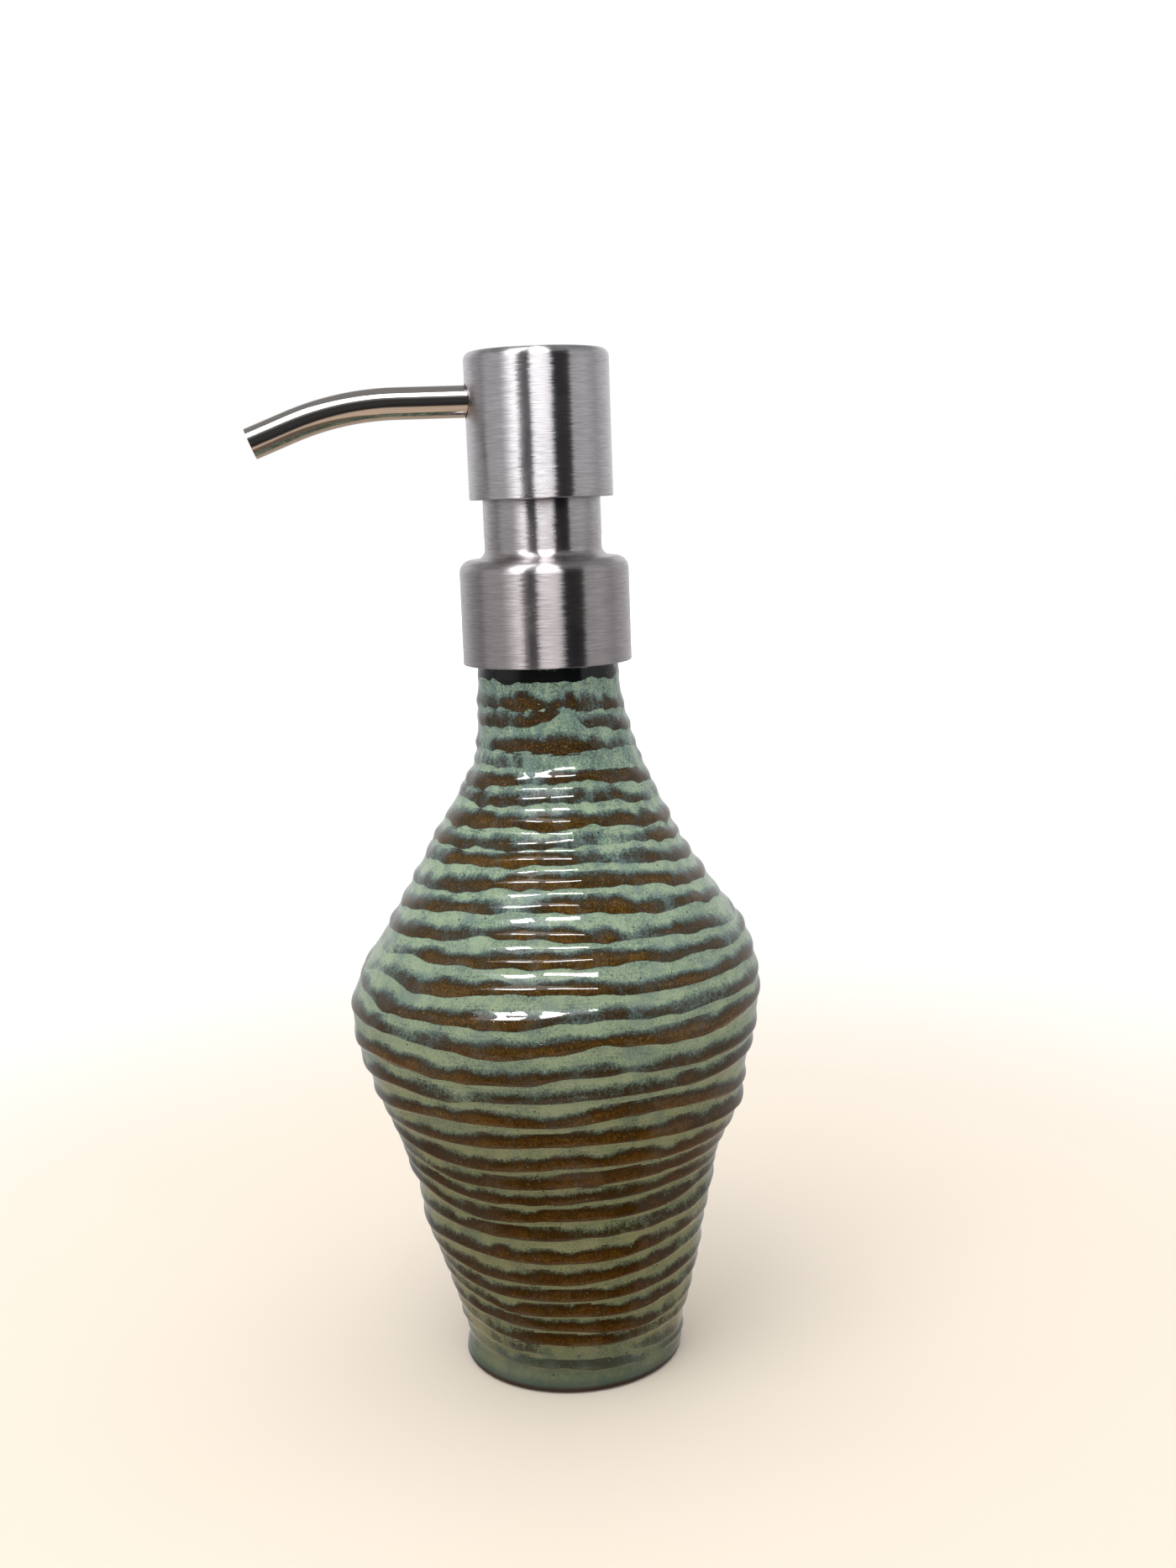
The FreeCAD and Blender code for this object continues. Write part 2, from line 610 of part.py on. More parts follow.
def spout_tube():
    """Steel outlet tube: straight out of the head, one gentle bend, short drooping end."""
    droop = math.radians(SPOUT_DROOP)
    start = V(-SPOUT_SOCKET_END, 0, SPOUT_HEIGHT)
    bend_start = V(-SPOUT_STRAIGHT, 0, SPOUT_HEIGHT)
    bend_centre = V(-SPOUT_STRAIGHT, 0, SPOUT_HEIGHT - SPOUT_BEND_RADIUS)

    def on_bend(angle):
        return bend_centre + V(-math.sin(angle), 0, math.cos(angle)) * SPOUT_BEND_RADIUS

    bend_finish = on_bend(droop)
    last_run = (SPOUT_REACH + bend_finish.x) / math.cos(droop)
    tip = bend_finish + V(-math.cos(droop), 0, -math.sin(droop)) * last_run
    path = Part.Wire([
        Part.LineSegment(start, bend_start).toShape(),
        Part.Arc(bend_start, on_bend(droop / 2), bend_finish).toShape(),
        Part.LineSegment(bend_finish, tip).toShape(),
    ])
    outer = Part.Wire(Part.makeCircle(SPOUT_RADIUS, start, V(1, 0, 0)))
    inner = Part.Wire(Part.makeCircle(SPOUT_BORE, start, V(1, 0, 0)))
    rod = path.makePipeShell([outer], True, True)
    core = path.makePipeShell([inner], True, True)
    return rod.cut(core)


PIECES = [
    bottle_body,
    neck_insert,
    collar_shell,
    threaded_closure,
    pump_housing,
    neck_gasket,
    stem_guide,
    stem_seal,
    ball_retainer,
    inlet_ball,
    return_spring,
    dip_tube,
    piston,
    piston_rod,
    stem,
    outlet_ball,
    head_core,
    head_cover,
    spout_tube,
    spout_seal,
]

os.makedirs("parts", exist_ok=True)
for piece in PIECES:
    shape = piece()
    if len(shape.Solids) == 1:
        shape = shape.Solids[0]
    name = piece.__name__
    shape.exportStep("parts/" + name + ".step")
    box = shape.BoundBox
    print(f"{name:18s} solids {len(shape.Solids)} valid {shape.isValid()} volume {shape.Volume:9.1f}"
          f" z {box.ZMin:7.2f} to {box.ZMax:7.2f}")
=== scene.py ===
import json
import math

import bpy
import numpy as np
from mathutils import Matrix, Vector


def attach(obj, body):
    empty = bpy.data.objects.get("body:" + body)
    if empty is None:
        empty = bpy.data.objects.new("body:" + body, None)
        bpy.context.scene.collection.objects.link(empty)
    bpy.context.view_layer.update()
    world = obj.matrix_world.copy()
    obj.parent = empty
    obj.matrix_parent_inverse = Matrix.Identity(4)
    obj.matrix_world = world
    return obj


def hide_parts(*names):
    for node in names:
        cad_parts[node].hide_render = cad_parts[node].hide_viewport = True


# Looks of the soap pump dispenser: a thrown, glazed stoneware bottle under a steel pump.
# Metres, +Z up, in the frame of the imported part. Dimensions that are easier to read in
# millimetres are multiplied by MM. Azimuths of the throwing ridges count in degrees from
# the side that the camera looks at, to its right.

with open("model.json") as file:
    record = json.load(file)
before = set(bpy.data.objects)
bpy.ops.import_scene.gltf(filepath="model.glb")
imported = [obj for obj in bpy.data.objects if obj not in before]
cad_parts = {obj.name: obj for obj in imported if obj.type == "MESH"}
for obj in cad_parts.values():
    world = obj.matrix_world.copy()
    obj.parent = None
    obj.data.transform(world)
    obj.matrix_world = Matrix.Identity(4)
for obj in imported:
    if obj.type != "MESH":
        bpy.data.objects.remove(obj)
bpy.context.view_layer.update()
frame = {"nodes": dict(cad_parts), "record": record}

MM = 0.001
SEED = 11

# ---- camera ---------------------------------------------------------------------------
CAMERA_LENS = 40.49
CAMERA_DISTANCE = 0.350
CAMERA_HEIGHT = 0.17938
CAMERA_AZIMUTH = math.radians(-6.0)
CAMERA_PITCH = math.radians(9.65)
CAMERA_YAW = math.radians(1.163)
CAMERA_ROLL = math.radians(2.072)
CAMERA_CLIP_START = 0.01

# ---- bottle: mean wall, in millimetres ------------------------------------------------
# (outer radius, height)
WALL_OUTLINE = (
    (22.6, 0.9), (22.7, 5.0), (25.0, 14.0), (28.9, 29.0), (30.2, 34.0), (31.3, 40.5),
    (33.5, 47.5), (36.6, 55.0), (38.6, 62.0), (40.6, 69.5), (41.5, 78.0), (38.8, 87.0),
    (33.5, 95.5), (26.9, 106.0), (20.9, 117.0), (16.3, 126.5), (14.9, 134.0), (14.1, 142.5),
    (13.7, 146.9),
)
# (radius, height) from the middle of the hollow foot out to the wall
FOOT_OUTLINE = ((16.5, 1.0), (17.3, 0.35), (17.8, 0.0), (21.3, 0.0), (21.9, 0.12), (22.35, 0.45))
# (radius, height) from the rim down the inside to the floor's edge
INNER_OUTLINE = (
    (13.3, 147.4), (12.6, 147.5), (10.9, 147.5), (10.5, 147.0), (10.5, 131.0), (16.6, 117.0),
    (22.6, 106.0), (29.2, 95.5), (34.5, 87.0), (37.3, 78.0), (36.4, 69.0), (33.2, 58.0),
    (28.0, 43.0), (24.8, 29.0), (20.8, 14.0), (18.2, 8.1), (17.0, 6.5),
)
# (height, shift to the camera's right) of the middle of the wall, thrown a little off centre
SWAY = (
    (0.9, 0.0), (3.0, 0.3), (10.0, 0.5), (20.0, 0.2), (26.0, -0.1), (31.0, -0.7), (37.0, -0.2),
    (44.0, -0.7), (50.0, -0.3), (55.0, 0.2), (59.0, -0.6), (68.0, -1.1), (78.0, -1.0),
    (91.0, 0.9), (109.0, -0.1), (125.5, 1.2), (137.0, 0.1), (142.0, 0.0),
)
WALL_ROWS = 420
WALL_COLUMNS = 216

# ---- bottle: throwing ridges ----------------------------------------------------------
# One line of (azimuth, height in mm, strength) for each ridge. A strength of 9 is a ridge
# on which the glaze breaks to brown, 5 only goes slate blue, and at 0 the ridge is gone.
RIDGES = (
    ((-80, 143.6, 3), (-50, 143.6, 5), (-40, 143.5, 8), (0, 143.4, 8), (30, 143.4, 7),
     (45, 143.4, 5), (60, 143.4, 4), (80, 143.4, 2)),
    ((-75, 138.0, 3), (-60, 138.2, 4), (-42, 138.5, 6), (-30, 138.4, 9), (-8, 138.0, 9),
     (-3, 137.7, 5), (3, 137.6, 8), (18, 137.8, 8), (26, 137.7, 5), (40, 137.2, 5),
     (50, 137.0, 7), (62, 136.8, 6), (75, 136.5, 3)),
    ((-75, 134.5, 4), (-60, 134.7, 6), (-45, 134.9, 6), (-32, 134.9, 4), (-20, 134.8, 8),
     (-8, 135.6, 9), (0, 136.6, 7), (8, 137.3, 3), (16, 136.5, 0), (22, 134.3, 3),
     (30, 134.0, 6), (45, 133.8, 6), (60, 132.8, 6), (80, 132.0, 3)),
    ((-70, 129.9, 1), (-60, 130.0, 2), (-50, 130.2, 6), (-40, 130.3, 9), (-20, 130.3, 9),
     (0, 130.2, 9), (20, 130.0, 8), (30, 129.8, 5), (45, 129.5, 3), (60, 129.0, 3),
     (78, 128.5, 2)),
    ((-72, 126.5, 2), (-60, 126.7, 4), (-40, 126.8, 4), (-28, 126.9, 3), (-20, 126.9, 0),
     (78, 126.0, 0)),
    ((-75, 122.6, 4), (-60, 123.0, 8), (-40, 123.5, 9), (-28, 123.9, 7), (-22, 124.0, 3),
     (-12, 124.1, 3), (-4, 124.2, 7), (20, 124.3, 8), (40, 123.8, 8), (60, 122.9, 8),
     (80, 121.8, 5)),
    ((-70, 120.2, 3), (-55, 120.0, 6), (-40, 119.8, 7), (-20, 120.6, 6), (0, 120.8, 5),
     (20, 120.6, 5), (40, 119.8, 6), (55, 119.0, 6), (62, 118.8, 4), (75, 118.4, 2)),
    ((-75, 115.7, 6), (-60, 116.0, 8), (-40, 116.5, 8), (-20, 116.6, 7), (0, 116.3, 9),
     (20, 116.3, 8), (40, 115.5, 8), (60, 114.8, 8), (75, 113.9, 7)),
    ((-75, 111.6, 6), (-60, 112.0, 7), (-40, 112.4, 6), (-20, 112.6, 6), (-5, 112.8, 6),
     (8, 112.9, 4), (20, 113.0, 3), (36, 112.6, 3), (45, 112.2, 6), (55, 111.6, 8),
     (65, 111.0, 8), (78, 110.3, 6)),
    ((-78, 108.2, 5), (-68, 108.7, 5), (-62, 108.8, 3), (-56, 109.0, 8), (-45, 109.1, 9),
     (-30, 109.5, 9), (-10, 110.0, 9), (0, 110.0, 8), (8, 109.8, 5), (25, 109.3, 4),
     (35, 109.0, 4), (42, 108.6, 6), (55, 107.6, 7), (75, 106.6, 6)),
    ((-75, 103.6, 4), (-60, 104.0, 5), (-50, 104.5, 6), (-40, 104.8, 6), (-30, 105.5, 8),
     (-20, 106.0, 9), (0, 106.0, 9), (20, 106.0, 8), (30, 105.6, 8), (45, 104.3, 8),
     (60, 103.3, 8), (75, 102.2, 7)),
    ((-80, 98.5, 7), (-60, 100.3, 8), (-45, 101.0, 8), (-30, 101.4, 8), (-24, 101.6, 6),
     (-18, 101.8, 2), (-12, 102.0, 3), (-6, 102.2, 8), (5, 102.1, 9), (20, 101.5, 8),
     (30, 100.8, 8), (38, 100.2, 6), (42, 99.9, 4), (48, 99.7, 7), (60, 99.0, 8),
     (72, 98.4, 6), (80, 98.0, 4)),
    ((-80, 94.5, 6), (-60, 95.5, 8), (-45, 96.2, 8), (-38, 96.6, 5), (-28, 97.0, 4),
     (-20, 97.3, 6), (-14, 97.4, 9), (5, 97.2, 9), (15, 96.6, 8), (22, 96.2, 3),
     (28, 96.1, 3), (34, 96.0, 6), (45, 95.6, 7), (58, 94.8, 6), (68, 94.2, 3), (80, 93.6, 1)),
    ((-75, 91.0, 1), (-65, 91.4, 3), (-55, 91.9, 5), (-45, 92.1, 8), (-30, 92.6, 8),
     (-15, 92.8, 8), (-5, 93.0, 9), (10, 93.0, 9), (22, 92.7, 9), (28, 92.2, 6),
     (40, 91.8, 6), (55, 91.3, 6), (65, 91.0, 4), (75, 90.8, 2)),
    ((-78, 86.2, 2), (-66, 87.9, 2), (-56, 88.3, 5), (-50, 86.9, 6), (-42, 87.2, 9),
     (-20, 88.3, 9), (-14, 88.3, 7), (0, 88.5, 9), (12, 87.9, 9), (15, 87.7, 6),
     (20, 87.5, 7), (35, 87.2, 9), (50, 87.1, 8), (65, 87.1, 7), (80, 86.9, 6)),
    ((-78, 84.5, 4), (-60, 83.0, 6), (-50, 82.3, 8), (-35, 82.6, 9), (-20, 82.7, 9),
     (-12, 82.9, 9), (-6, 83.1, 6), (2, 83.4, 4), (10, 83.8, 6), (18, 83.4, 6),
     (26, 82.8, 6), (34, 82.5, 5), (42, 82.8, 3), (50, 83.3, 5), (60, 82.7, 7), (75, 82.0, 7)),
    ((-80, 78.4, 6), (-65, 78.9, 8), (-52, 78.4, 6), (-48, 78.1, 3), (-38, 78.0, 4),
     (-30, 77.9, 7), (-20, 77.5, 8), (-10, 77.4, 8), (0, 78.0, 8), (10, 78.8, 8),
     (20, 78.3, 9), (32, 77.7, 8), (45, 77.6, 9), (60, 78.0, 9), (78, 78.0, 7)),
    ((-80, 71.8, 7), (-60, 73.0, 9), (-50, 73.0, 9), (-35, 72.2, 9), (-15, 71.9, 9),
     (-8, 72.0, 7), (0, 73.0, 6), (12, 72.9, 5), (20, 72.8, 5), (30, 72.3, 6),
     (45, 71.8, 6), (60, 71.5, 7), (78, 71.2, 6)),
    ((-78, 66.6, 5), (-60, 67.5, 7), (-50, 68.0, 8), (-40, 67.5, 7), (-30, 67.3, 4),
     (-20, 68.2, 4), (-10, 68.1, 4), (-4, 68.0, 5), (2, 68.5, 5), (8, 68.3, 4),
     (16, 68.2, 4), (26, 68.3, 6), (40, 67.8, 8), (60, 67.5, 7), (78, 67.2, 5)),
    ((-78, 60.8, 6), (-60, 61.5, 7), (-50, 62.5, 8), (-40, 63.2, 9), (-20, 63.4, 9),
     (-5, 62.8, 9), (0, 62.7, 8), (10, 63.5, 9), (20, 64.2, 9), (30, 64.0, 9),
     (45, 62.9, 9), (60, 61.0, 8), (78, 60.0, 7)),
    ((-78, 56.8, 3), (-62, 57.5, 5), (-50, 57.7, 7), (-30, 58.2, 9), (-20, 58.5, 9),
     (0, 58.9, 9), (20, 58.5, 9), (40, 57.6, 8), (60, 56.5, 8), (78, 55.5, 7)),
    ((-78, 53.8, 4), (-60, 53.3, 6), (-45, 52.8, 7), (-30, 52.8, 8), (-20, 53.0, 9),
     (0, 53.9, 9), (20, 53.5, 9), (40, 53.0, 8), (60, 52.2, 6), (78, 51.5, 4)),
    ((-78, 50.5, 2), (-55, 49.7, 4), (-40, 48.7, 6), (-24, 48.9, 8), (-10, 48.9, 9),
     (0, 49.2, 9), (10, 49.5, 9), (40, 49.4, 7), (60, 48.7, 5), (78, 48.0, 3)),
    ((-78, 47.4, 3), (-55, 46.5, 6), (-40, 45.6, 7), (-20, 45.0, 8), (-5, 45.0, 7),
     (10, 45.7, 7), (20, 45.5, 6), (40, 45.9, 7), (60, 45.2, 5), (78, 44.6, 3)),
    ((-78, 43.8, 5), (-60, 43.0, 6), (-48, 41.8, 6), (-35, 41.0, 6), (-20, 41.3, 9),
     (0, 41.5, 9), (20, 41.2, 8), (40, 41.2, 7), (55, 42.0, 5), (78, 42.2, 3)),
    ((-78, 37.2, 3), (-60, 37.5, 5), (-50, 37.8, 6), (-20, 37.5, 8), (-8, 37.3, 7),
     (0, 37.2, 5), (15, 37.4, 5), (27, 37.3, 5), (40, 37.8, 5), (50, 37.1, 4),
     (65, 37.8, 4), (78, 37.9, 2)),
    ((-78, 32.0, 4), (-60, 32.5, 6), (-45, 33.2, 7), (-30, 32.8, 8), (-15, 32.2, 9),
     (0, 31.8, 9), (20, 32.0, 9), (32, 32.7, 8), (42, 32.8, 5), (55, 33.0, 4), (78, 32.6, 3)),
    ((-78, 28.6, 4), (-55, 28.0, 6), (-40, 27.5, 7), (-20, 27.1, 8), (0, 26.8, 9),
     (10, 27.2, 9), (20, 27.7, 8), (30, 28.0, 8), (45, 28.6, 5), (60, 28.8, 3), (78, 28.8, 2)),
    ((-78, 24.8, 3), (-50, 24.0, 5), (-30, 23.4, 8), (-20, 23.2, 8), (0, 23.0, 9),
     (20, 23.0, 8), (40, 23.5, 7), (60, 23.8, 5), (78, 24.0, 3)),
    ((-78, 21.9, 3), (-50, 21.0, 5), (-30, 19.5, 7), (-20, 19.3, 9), (0, 19.5, 9),
     (20, 18.8, 9), (32, 18.8, 7), (50, 19.4, 5), (78, 20.0, 3)),
    ((-78, 17.4, 3), (-60, 17.0, 5), (-40, 17.0, 6), (-20, 16.2, 8), (0, 15.8, 9),
     (20, 14.8, 9), (36, 14.3, 6), (50, 14.6, 3), (78, 15.2, 2)),
    ((-70, 13.9, 2), (-40, 13.0, 4), (-22, 12.4, 8), (0, 12.2, 9), (12, 12.1, 9),
     (20, 11.9, 5), (35, 11.8, 3), (60, 11.8, 3), (78, 12.0, 2)),
    ((-60, 10.0, 0), (-45, 9.8, 2), (-35, 9.5, 4), (-22, 9.1, 4), (-12, 9.0, 0),
     (25, 9.0, 0), (35, 8.2, 3), (50, 7.4, 4), (60, 7.0, 3), (75, 7.0, 0)),
    ((-50, 6.8, 1), (-35, 6.7, 3), (-20, 6.5, 6), (-5, 6.5, 7), (10, 6.3, 7),
     (24, 5.8, 6), (32, 5.4, 3), (45, 5.2, 0)),
)
STRONGEST = 9

# ---- bottle: how the ridges carry on round the back -----------------------------------
BACK_STEPS = 9
BACK_WOBBLE = 0.45
BACK_STRENGTHS = (2, 4, 5, 6, 7, 8, 8, 9, 9, 9)

# ---- bottle: unevenness of the ridges round the bottle --------------------------------
BREADTH_CHANGE = 0.55
DRIFT = 0.5
# blurs in degrees
BREADTH_BLUR = 3.0
DRIFT_BLUR = 2.5
HEIGHT_BLUR = 3.5
STRENGTH_BLUR = 1.6

# ---- bottle: profile of a ridge -------------------------------------------------------
# heights in mm between which the lower half's style gives way to the upper half's
LOWER_STYLE = (62.0, 84.0)
# Pairs are for the upper and the lower half, in millimetres.
CREST = (-0.1, -0.6)
WIDTH_BELOW = (1.15, 0.55)
WIDTH_ABOVE = (1.5, 1.8)
RELIEF = (0.55, 0.85)
MEAN_RELIEF = 0.5
STRENGTH_POWER = 0.7
# how far under the ridge's line its lower edge begins, and above it the fading does
EDGE_START = (2.15, 1.9)
EDGE_LENGTH = 1.2
FADE_START = (0.35, 0.65)
FADE_LENGTH = (2.2, 2.0)
# breadth of the brown on a ridge of no strength, as a share of the strongest one's
NARROWEST = 0.62
# heights in mm where the relief ends at the top, begins at the foot, and the brown begins
SMOOTH_TOP = (140.5, 143.5)
SMOOTH_FOOT = (2.2, 5.0)
PLAIN_FOOT = (1.0, 3.0)
# (waves round the bottle, size in mm, shortest and longest mm of height to a radian)
LUMPS = (((1, 2, 2, 3, 4, 5, 7), 0.09, 9, 30), (range(6, 24, 2), 0.02, 1.2, 3.5))
OUTLINE_STEPS = 3000


def smoothstep(low, high, value):
    t = np.clip((value - low) / (high - low), 0.0, 1.0)
    return t * t * (3.0 - 2.0 * t)


def curve_through(xs, ys, x):
    """Smooth curve through points, by cubic pieces whose slopes are the points' own."""
    xs, ys = np.asarray(xs, float), np.asarray(ys, float)
    slopes = np.gradient(ys, xs)
    k = np.clip(np.searchsorted(xs, x) - 1, 0, len(xs) - 2)
    span = xs[k + 1] - xs[k]
    t = (x - xs[k]) / span
    return (
        ys[k] * (1 + 2 * t) * (1 - t) ** 2
        + slopes[k] * span * t * (1 - t) ** 2
        + ys[k + 1] * t * t * (3 - 2 * t)
        + slopes[k + 1] * span * t * t * (t - 1)
    )


def smoothed_ring(values, sigma):
    """Gaussian blur around the ring, sigma in samples."""
    reach = int(4 * sigma) + 1
    offsets = np.arange(-reach, reach + 1)
    weights = np.exp(-0.5 * (offsets / sigma) ** 2)
    weights /= weights.sum()
    return sum(w * np.roll(values, o) for w, o in zip(weights, offsets))


def column_azimuths():
    return np.arange(WALL_COLUMNS) * 360.0 / WALL_COLUMNS


def ridge_round_the_bottle(points, random):
    """Height, strength, breadth and drift of one ridge at each column.

    Height and strength are as listed in front and made up behind.
    """
    azimuths, heights, strengths = (list(column) for column in zip(*points))
    first, last = azimuths[0] + 360, azimuths[-1]
    for step in range(1, BACK_STEPS):
        share = step / BACK_STEPS
        azimuths.append(last + (first - last) * share)
        level = heights[len(points) - 1] * (1 - share) + heights[0] * share
        heights.append(level + random.normal(0, BACK_WOBBLE))
        strengths.append(random.choice(BACK_STRENGTHS))
    degrees = np.arange(360) - 180.0
    height = np.interp(degrees, azimuths, heights, period=360)
    strength = np.interp(degrees, azimuths, np.array(strengths) / STRONGEST, period=360)
    measures = (
        smoothed_ring(height, HEIGHT_BLUR),
        smoothed_ring(strength, STRENGTH_BLUR),
        1 + BREADTH_CHANGE * smoothed_ring(random.normal(0, 1, 360), BREADTH_BLUR),
        DRIFT * smoothed_ring(random.normal(0, 1, 360), DRIFT_BLUR),
    )
    return [np.interp(column_azimuths(), degrees, measure, period=360) for measure in measures]


def wall_rows():
    """Mean radius, height, arc length and outward normal of each row, and arc length by height."""
    radii, heights = np.array(WALL_OUTLINE).T
    fine = np.linspace(heights[0], heights[-1], OUTLINE_STEPS)
    radius = curve_through(heights, radii, fine)
    length = np.concatenate([[0], np.cumsum(np.hypot(np.diff(fine), np.diff(radius)))])
    rows = np.linspace(0, length[-1], WALL_ROWS)
    z = np.interp(rows, length, fine)
    r = np.interp(rows, length, radius)
    slope = np.interp(rows, length, np.gradient(radius, fine))
    tilt = np.hypot(1.0, slope)
    return r, z, rows, 1.0 / tilt, -slope / tilt, lambda h: np.interp(h, fine, length)


def hand_made_lumps(random, z):
    """Dents and bulges of the thrown wall in mm, as waves that wind round it."""
    around = np.radians(column_azimuths())[None, :]
    lumps = np.zeros((WALL_ROWS, WALL_COLUMNS))
    for orders, size, shortest, longest in LUMPS:
        for order in orders:
            start = random.uniform(0, 2 * math.pi)
            phase = start + z[:, None] / random.uniform(shortest, longest)
            amount = random.normal(0, size)
            way = random.choice((-1, 1))
            lumps += amount * np.cos(order * around + way * phase)
    return lumps


def thrown_wall(random):
    """Grids of radius, height and the two glaze measures, one row per height."""
    r, z, s, out, up, length_at = wall_rows()
    lower = (1 - smoothstep(*LOWER_STYLE, z))[:, None]

    def styled(pair):
        on_upper, on_lower = pair
        return on_upper + (on_lower - on_upper) * lower

    cubes = np.zeros((WALL_ROWS, WALL_COLUMNS))
    nearest = np.full_like(cubes, np.inf)
    edge = np.zeros_like(cubes)
    fade = np.zeros_like(cubes)
    for points in RIDGES:
        ridge_height, strength, breadth, drift = ridge_round_the_bottle(points, random)
        distance = s[:, None] - length_at(ridge_height)[None, :]
        from_crest = distance - styled(CREST)
        width = np.where(from_crest < 0, styled(WIDTH_BELOW), styled(WIDTH_ABOVE))
        swell = np.exp(-(from_crest / width) ** 2) * strength[None, :] ** STRENGTH_POWER
        cubes += swell ** 3
        closer = np.abs(distance) < nearest
        nearest = np.where(closer, np.abs(distance), nearest)
        reach = (NARROWEST + (1 - NARROWEST) * strength[None, :]) * breadth[None, :]
        place = (distance + drift[None, :]) / reach
        rising = np.clip((place + styled(EDGE_START)) / EDGE_LENGTH, 0, 1)
        falling = np.clip(1 - (place - styled(FADE_START)) / styled(FADE_LENGTH), 0, 1)
        edge = np.where(closer, rising, edge)
        fade = np.where(closer, falling * strength[None, :], fade)
    relief = styled(RELIEF) * (np.cbrt(cubes) - MEAN_RELIEF)
    calm = (1 - smoothstep(*SMOOTH_TOP, z)) * smoothstep(*SMOOTH_FOOT, z)
    push = (relief + hand_made_lumps(random, z)) * calm[:, None]
    radius = r[:, None] + push * out[:, None]
    height = z[:, None] + push * up[:, None]
    return radius, height, edge, fade * smoothstep(*PLAIN_FOOT, z)[:, None]


def round_rows(outline):
    """Grids of radius and height of an outline that is the same all round."""
    rows = np.array(outline)
    ones = np.ones((1, WALL_COLUMNS))
    return rows[:, :1] * ones, rows[:, 1:] * ones


def swayed(radius, height, inner_rows):
    """Points of the grid in metres. The outside sways, and the last inner_rows rows don't."""
    angle = np.radians(column_azimuths()) + CAMERA_AZIMUTH
    at, shift = zip(*SWAY)
    sway = np.interp(height / MM, at, shift) * MM
    sway[-inner_rows:] = 0.0
    x = radius * np.sin(angle)[None, :] + sway * math.cos(CAMERA_AZIMUTH)
    y = -radius * np.cos(angle)[None, :] + sway * math.sin(CAMERA_AZIMUTH)
    return np.stack([x, y, height], axis=-1).reshape(-1, 3)


def faces_between_rings(rings, columns):
    """Quads from each ring of vertices to the next one."""
    faces = []
    for ring in range(rings - 1):
        here, there = ring * columns, (ring + 1) * columns
        for column in range(columns):
            following = (column + 1) % columns
            faces.append((here + column, here + following, there + following, there + column))
    return faces


def new_object(name, data):
    made = bpy.data.objects.new(name, data)
    bpy.context.scene.collection.objects.link(made)
    return made


def glazed_bottle():
    """Closed stoneware body with its throwing ridges, as one revolved grid of rows."""
    wall_radius, wall_height, edge, fade = thrown_wall(np.random.default_rng(SEED))
    foot_radius, foot_height = round_rows(FOOT_OUTLINE)
    inner_radius, inner_height = round_rows(INNER_OUTLINE)
    radius = np.vstack([foot_radius, wall_radius, inner_radius]) * MM
    height = np.vstack([foot_height, wall_height, inner_height]) * MM
    points = swayed(radius, height, len(inner_radius))
    poles = [(0.0, 0.0, float(height[row, 0])) for row in (0, -1)]
    rows = len(height)
    faces = faces_between_rings(rows, WALL_COLUMNS)
    last, bottom, top = (rows - 1) * WALL_COLUMNS, rows * WALL_COLUMNS, rows * WALL_COLUMNS + 1
    for column in range(WALL_COLUMNS):
        following = (column + 1) % WALL_COLUMNS
        faces.append((following, column, bottom))
        faces.append((last + column, last + following, top))
    mesh = bpy.data.meshes.new("glazed_bottle")
    mesh.from_pydata([*map(tuple, points), *poles], [], faces)
    for name, measure in (("edge_below", edge), ("fade_above", fade)):
        grid = np.vstack([np.zeros_like(foot_radius), measure, np.zeros_like(inner_radius)])
        attribute = mesh.attributes.new(name, "FLOAT", "POINT")
        values = np.append(grid.ravel(), np.zeros(len(poles)))
        attribute.data.foreach_set("value", values.astype(np.float32))
    mesh.shade_smooth()
    mesh.update()
    return new_object("glazed_bottle", mesh)


# ---- material helpers -----------------------------------------------------------------
BLACK = (0.0, 0.0, 0.0, 1.0)
WHITE = (1.0, 1.0, 1.0, 1.0)


def put(tree, kind, inputs=None, **settings):
    """Adds a node. Inputs are values, or sockets to link."""
    node = tree.nodes.new(kind)
    for name, value in settings.items():
        setattr(node, name, value)
    for key, value in (inputs or {}).items():
        if isinstance(value, bpy.types.NodeSocket):
            tree.links.new(value, node.inputs[key])
        else:
            node.inputs[key].default_value = value
    return node


def maths(tree, operation, *values, clamp=False):
    inputs = dict(enumerate(values))
    return put(tree, "ShaderNodeMath", inputs, operation=operation, use_clamp=clamp).outputs[0]


def total(tree, first, *others):
    for other in others:
        first = maths(tree, "ADD", first, other)
    return first


def product(tree, first, *others):
    for other in others:
        first = maths(tree, "MULTIPLY", first, other)
    return first


def swing(tree, value, size):
    """A 0 to 1 value about its middle: from minus to plus half the size."""
    return product(tree, maths(tree, "SUBTRACT", value, 0.5), size)


def within(tree, value, middle, half):
    """1 no further than half from the middle, and 0 elsewhere."""
    return maths(tree, "COMPARE", value, middle, half)


def vector_maths(tree, operation, *values):
    inputs = dict(enumerate(values))
    return put(tree, "ShaderNodeVectorMath", inputs, operation=operation).outputs["Vector"]


def scaled(tree, vector, factor):
    inputs = {0: vector, "Scale": factor}
    return put(tree, "ShaderNodeVectorMath", inputs, operation="SCALE").outputs["Vector"]


def measured(tree, operation, *vectors):
    """Number that a vector operation gives: a length or a dot product."""
    inputs = dict(enumerate(vectors))
    return put(tree, "ShaderNodeVectorMath", inputs, operation=operation).outputs["Value"]


def combined(tree, **parts):
    return put(tree, "ShaderNodeCombineXYZ", parts).outputs[0]


def separated(tree, vector):
    return put(tree, "ShaderNodeSeparateXYZ", {0: vector}).outputs


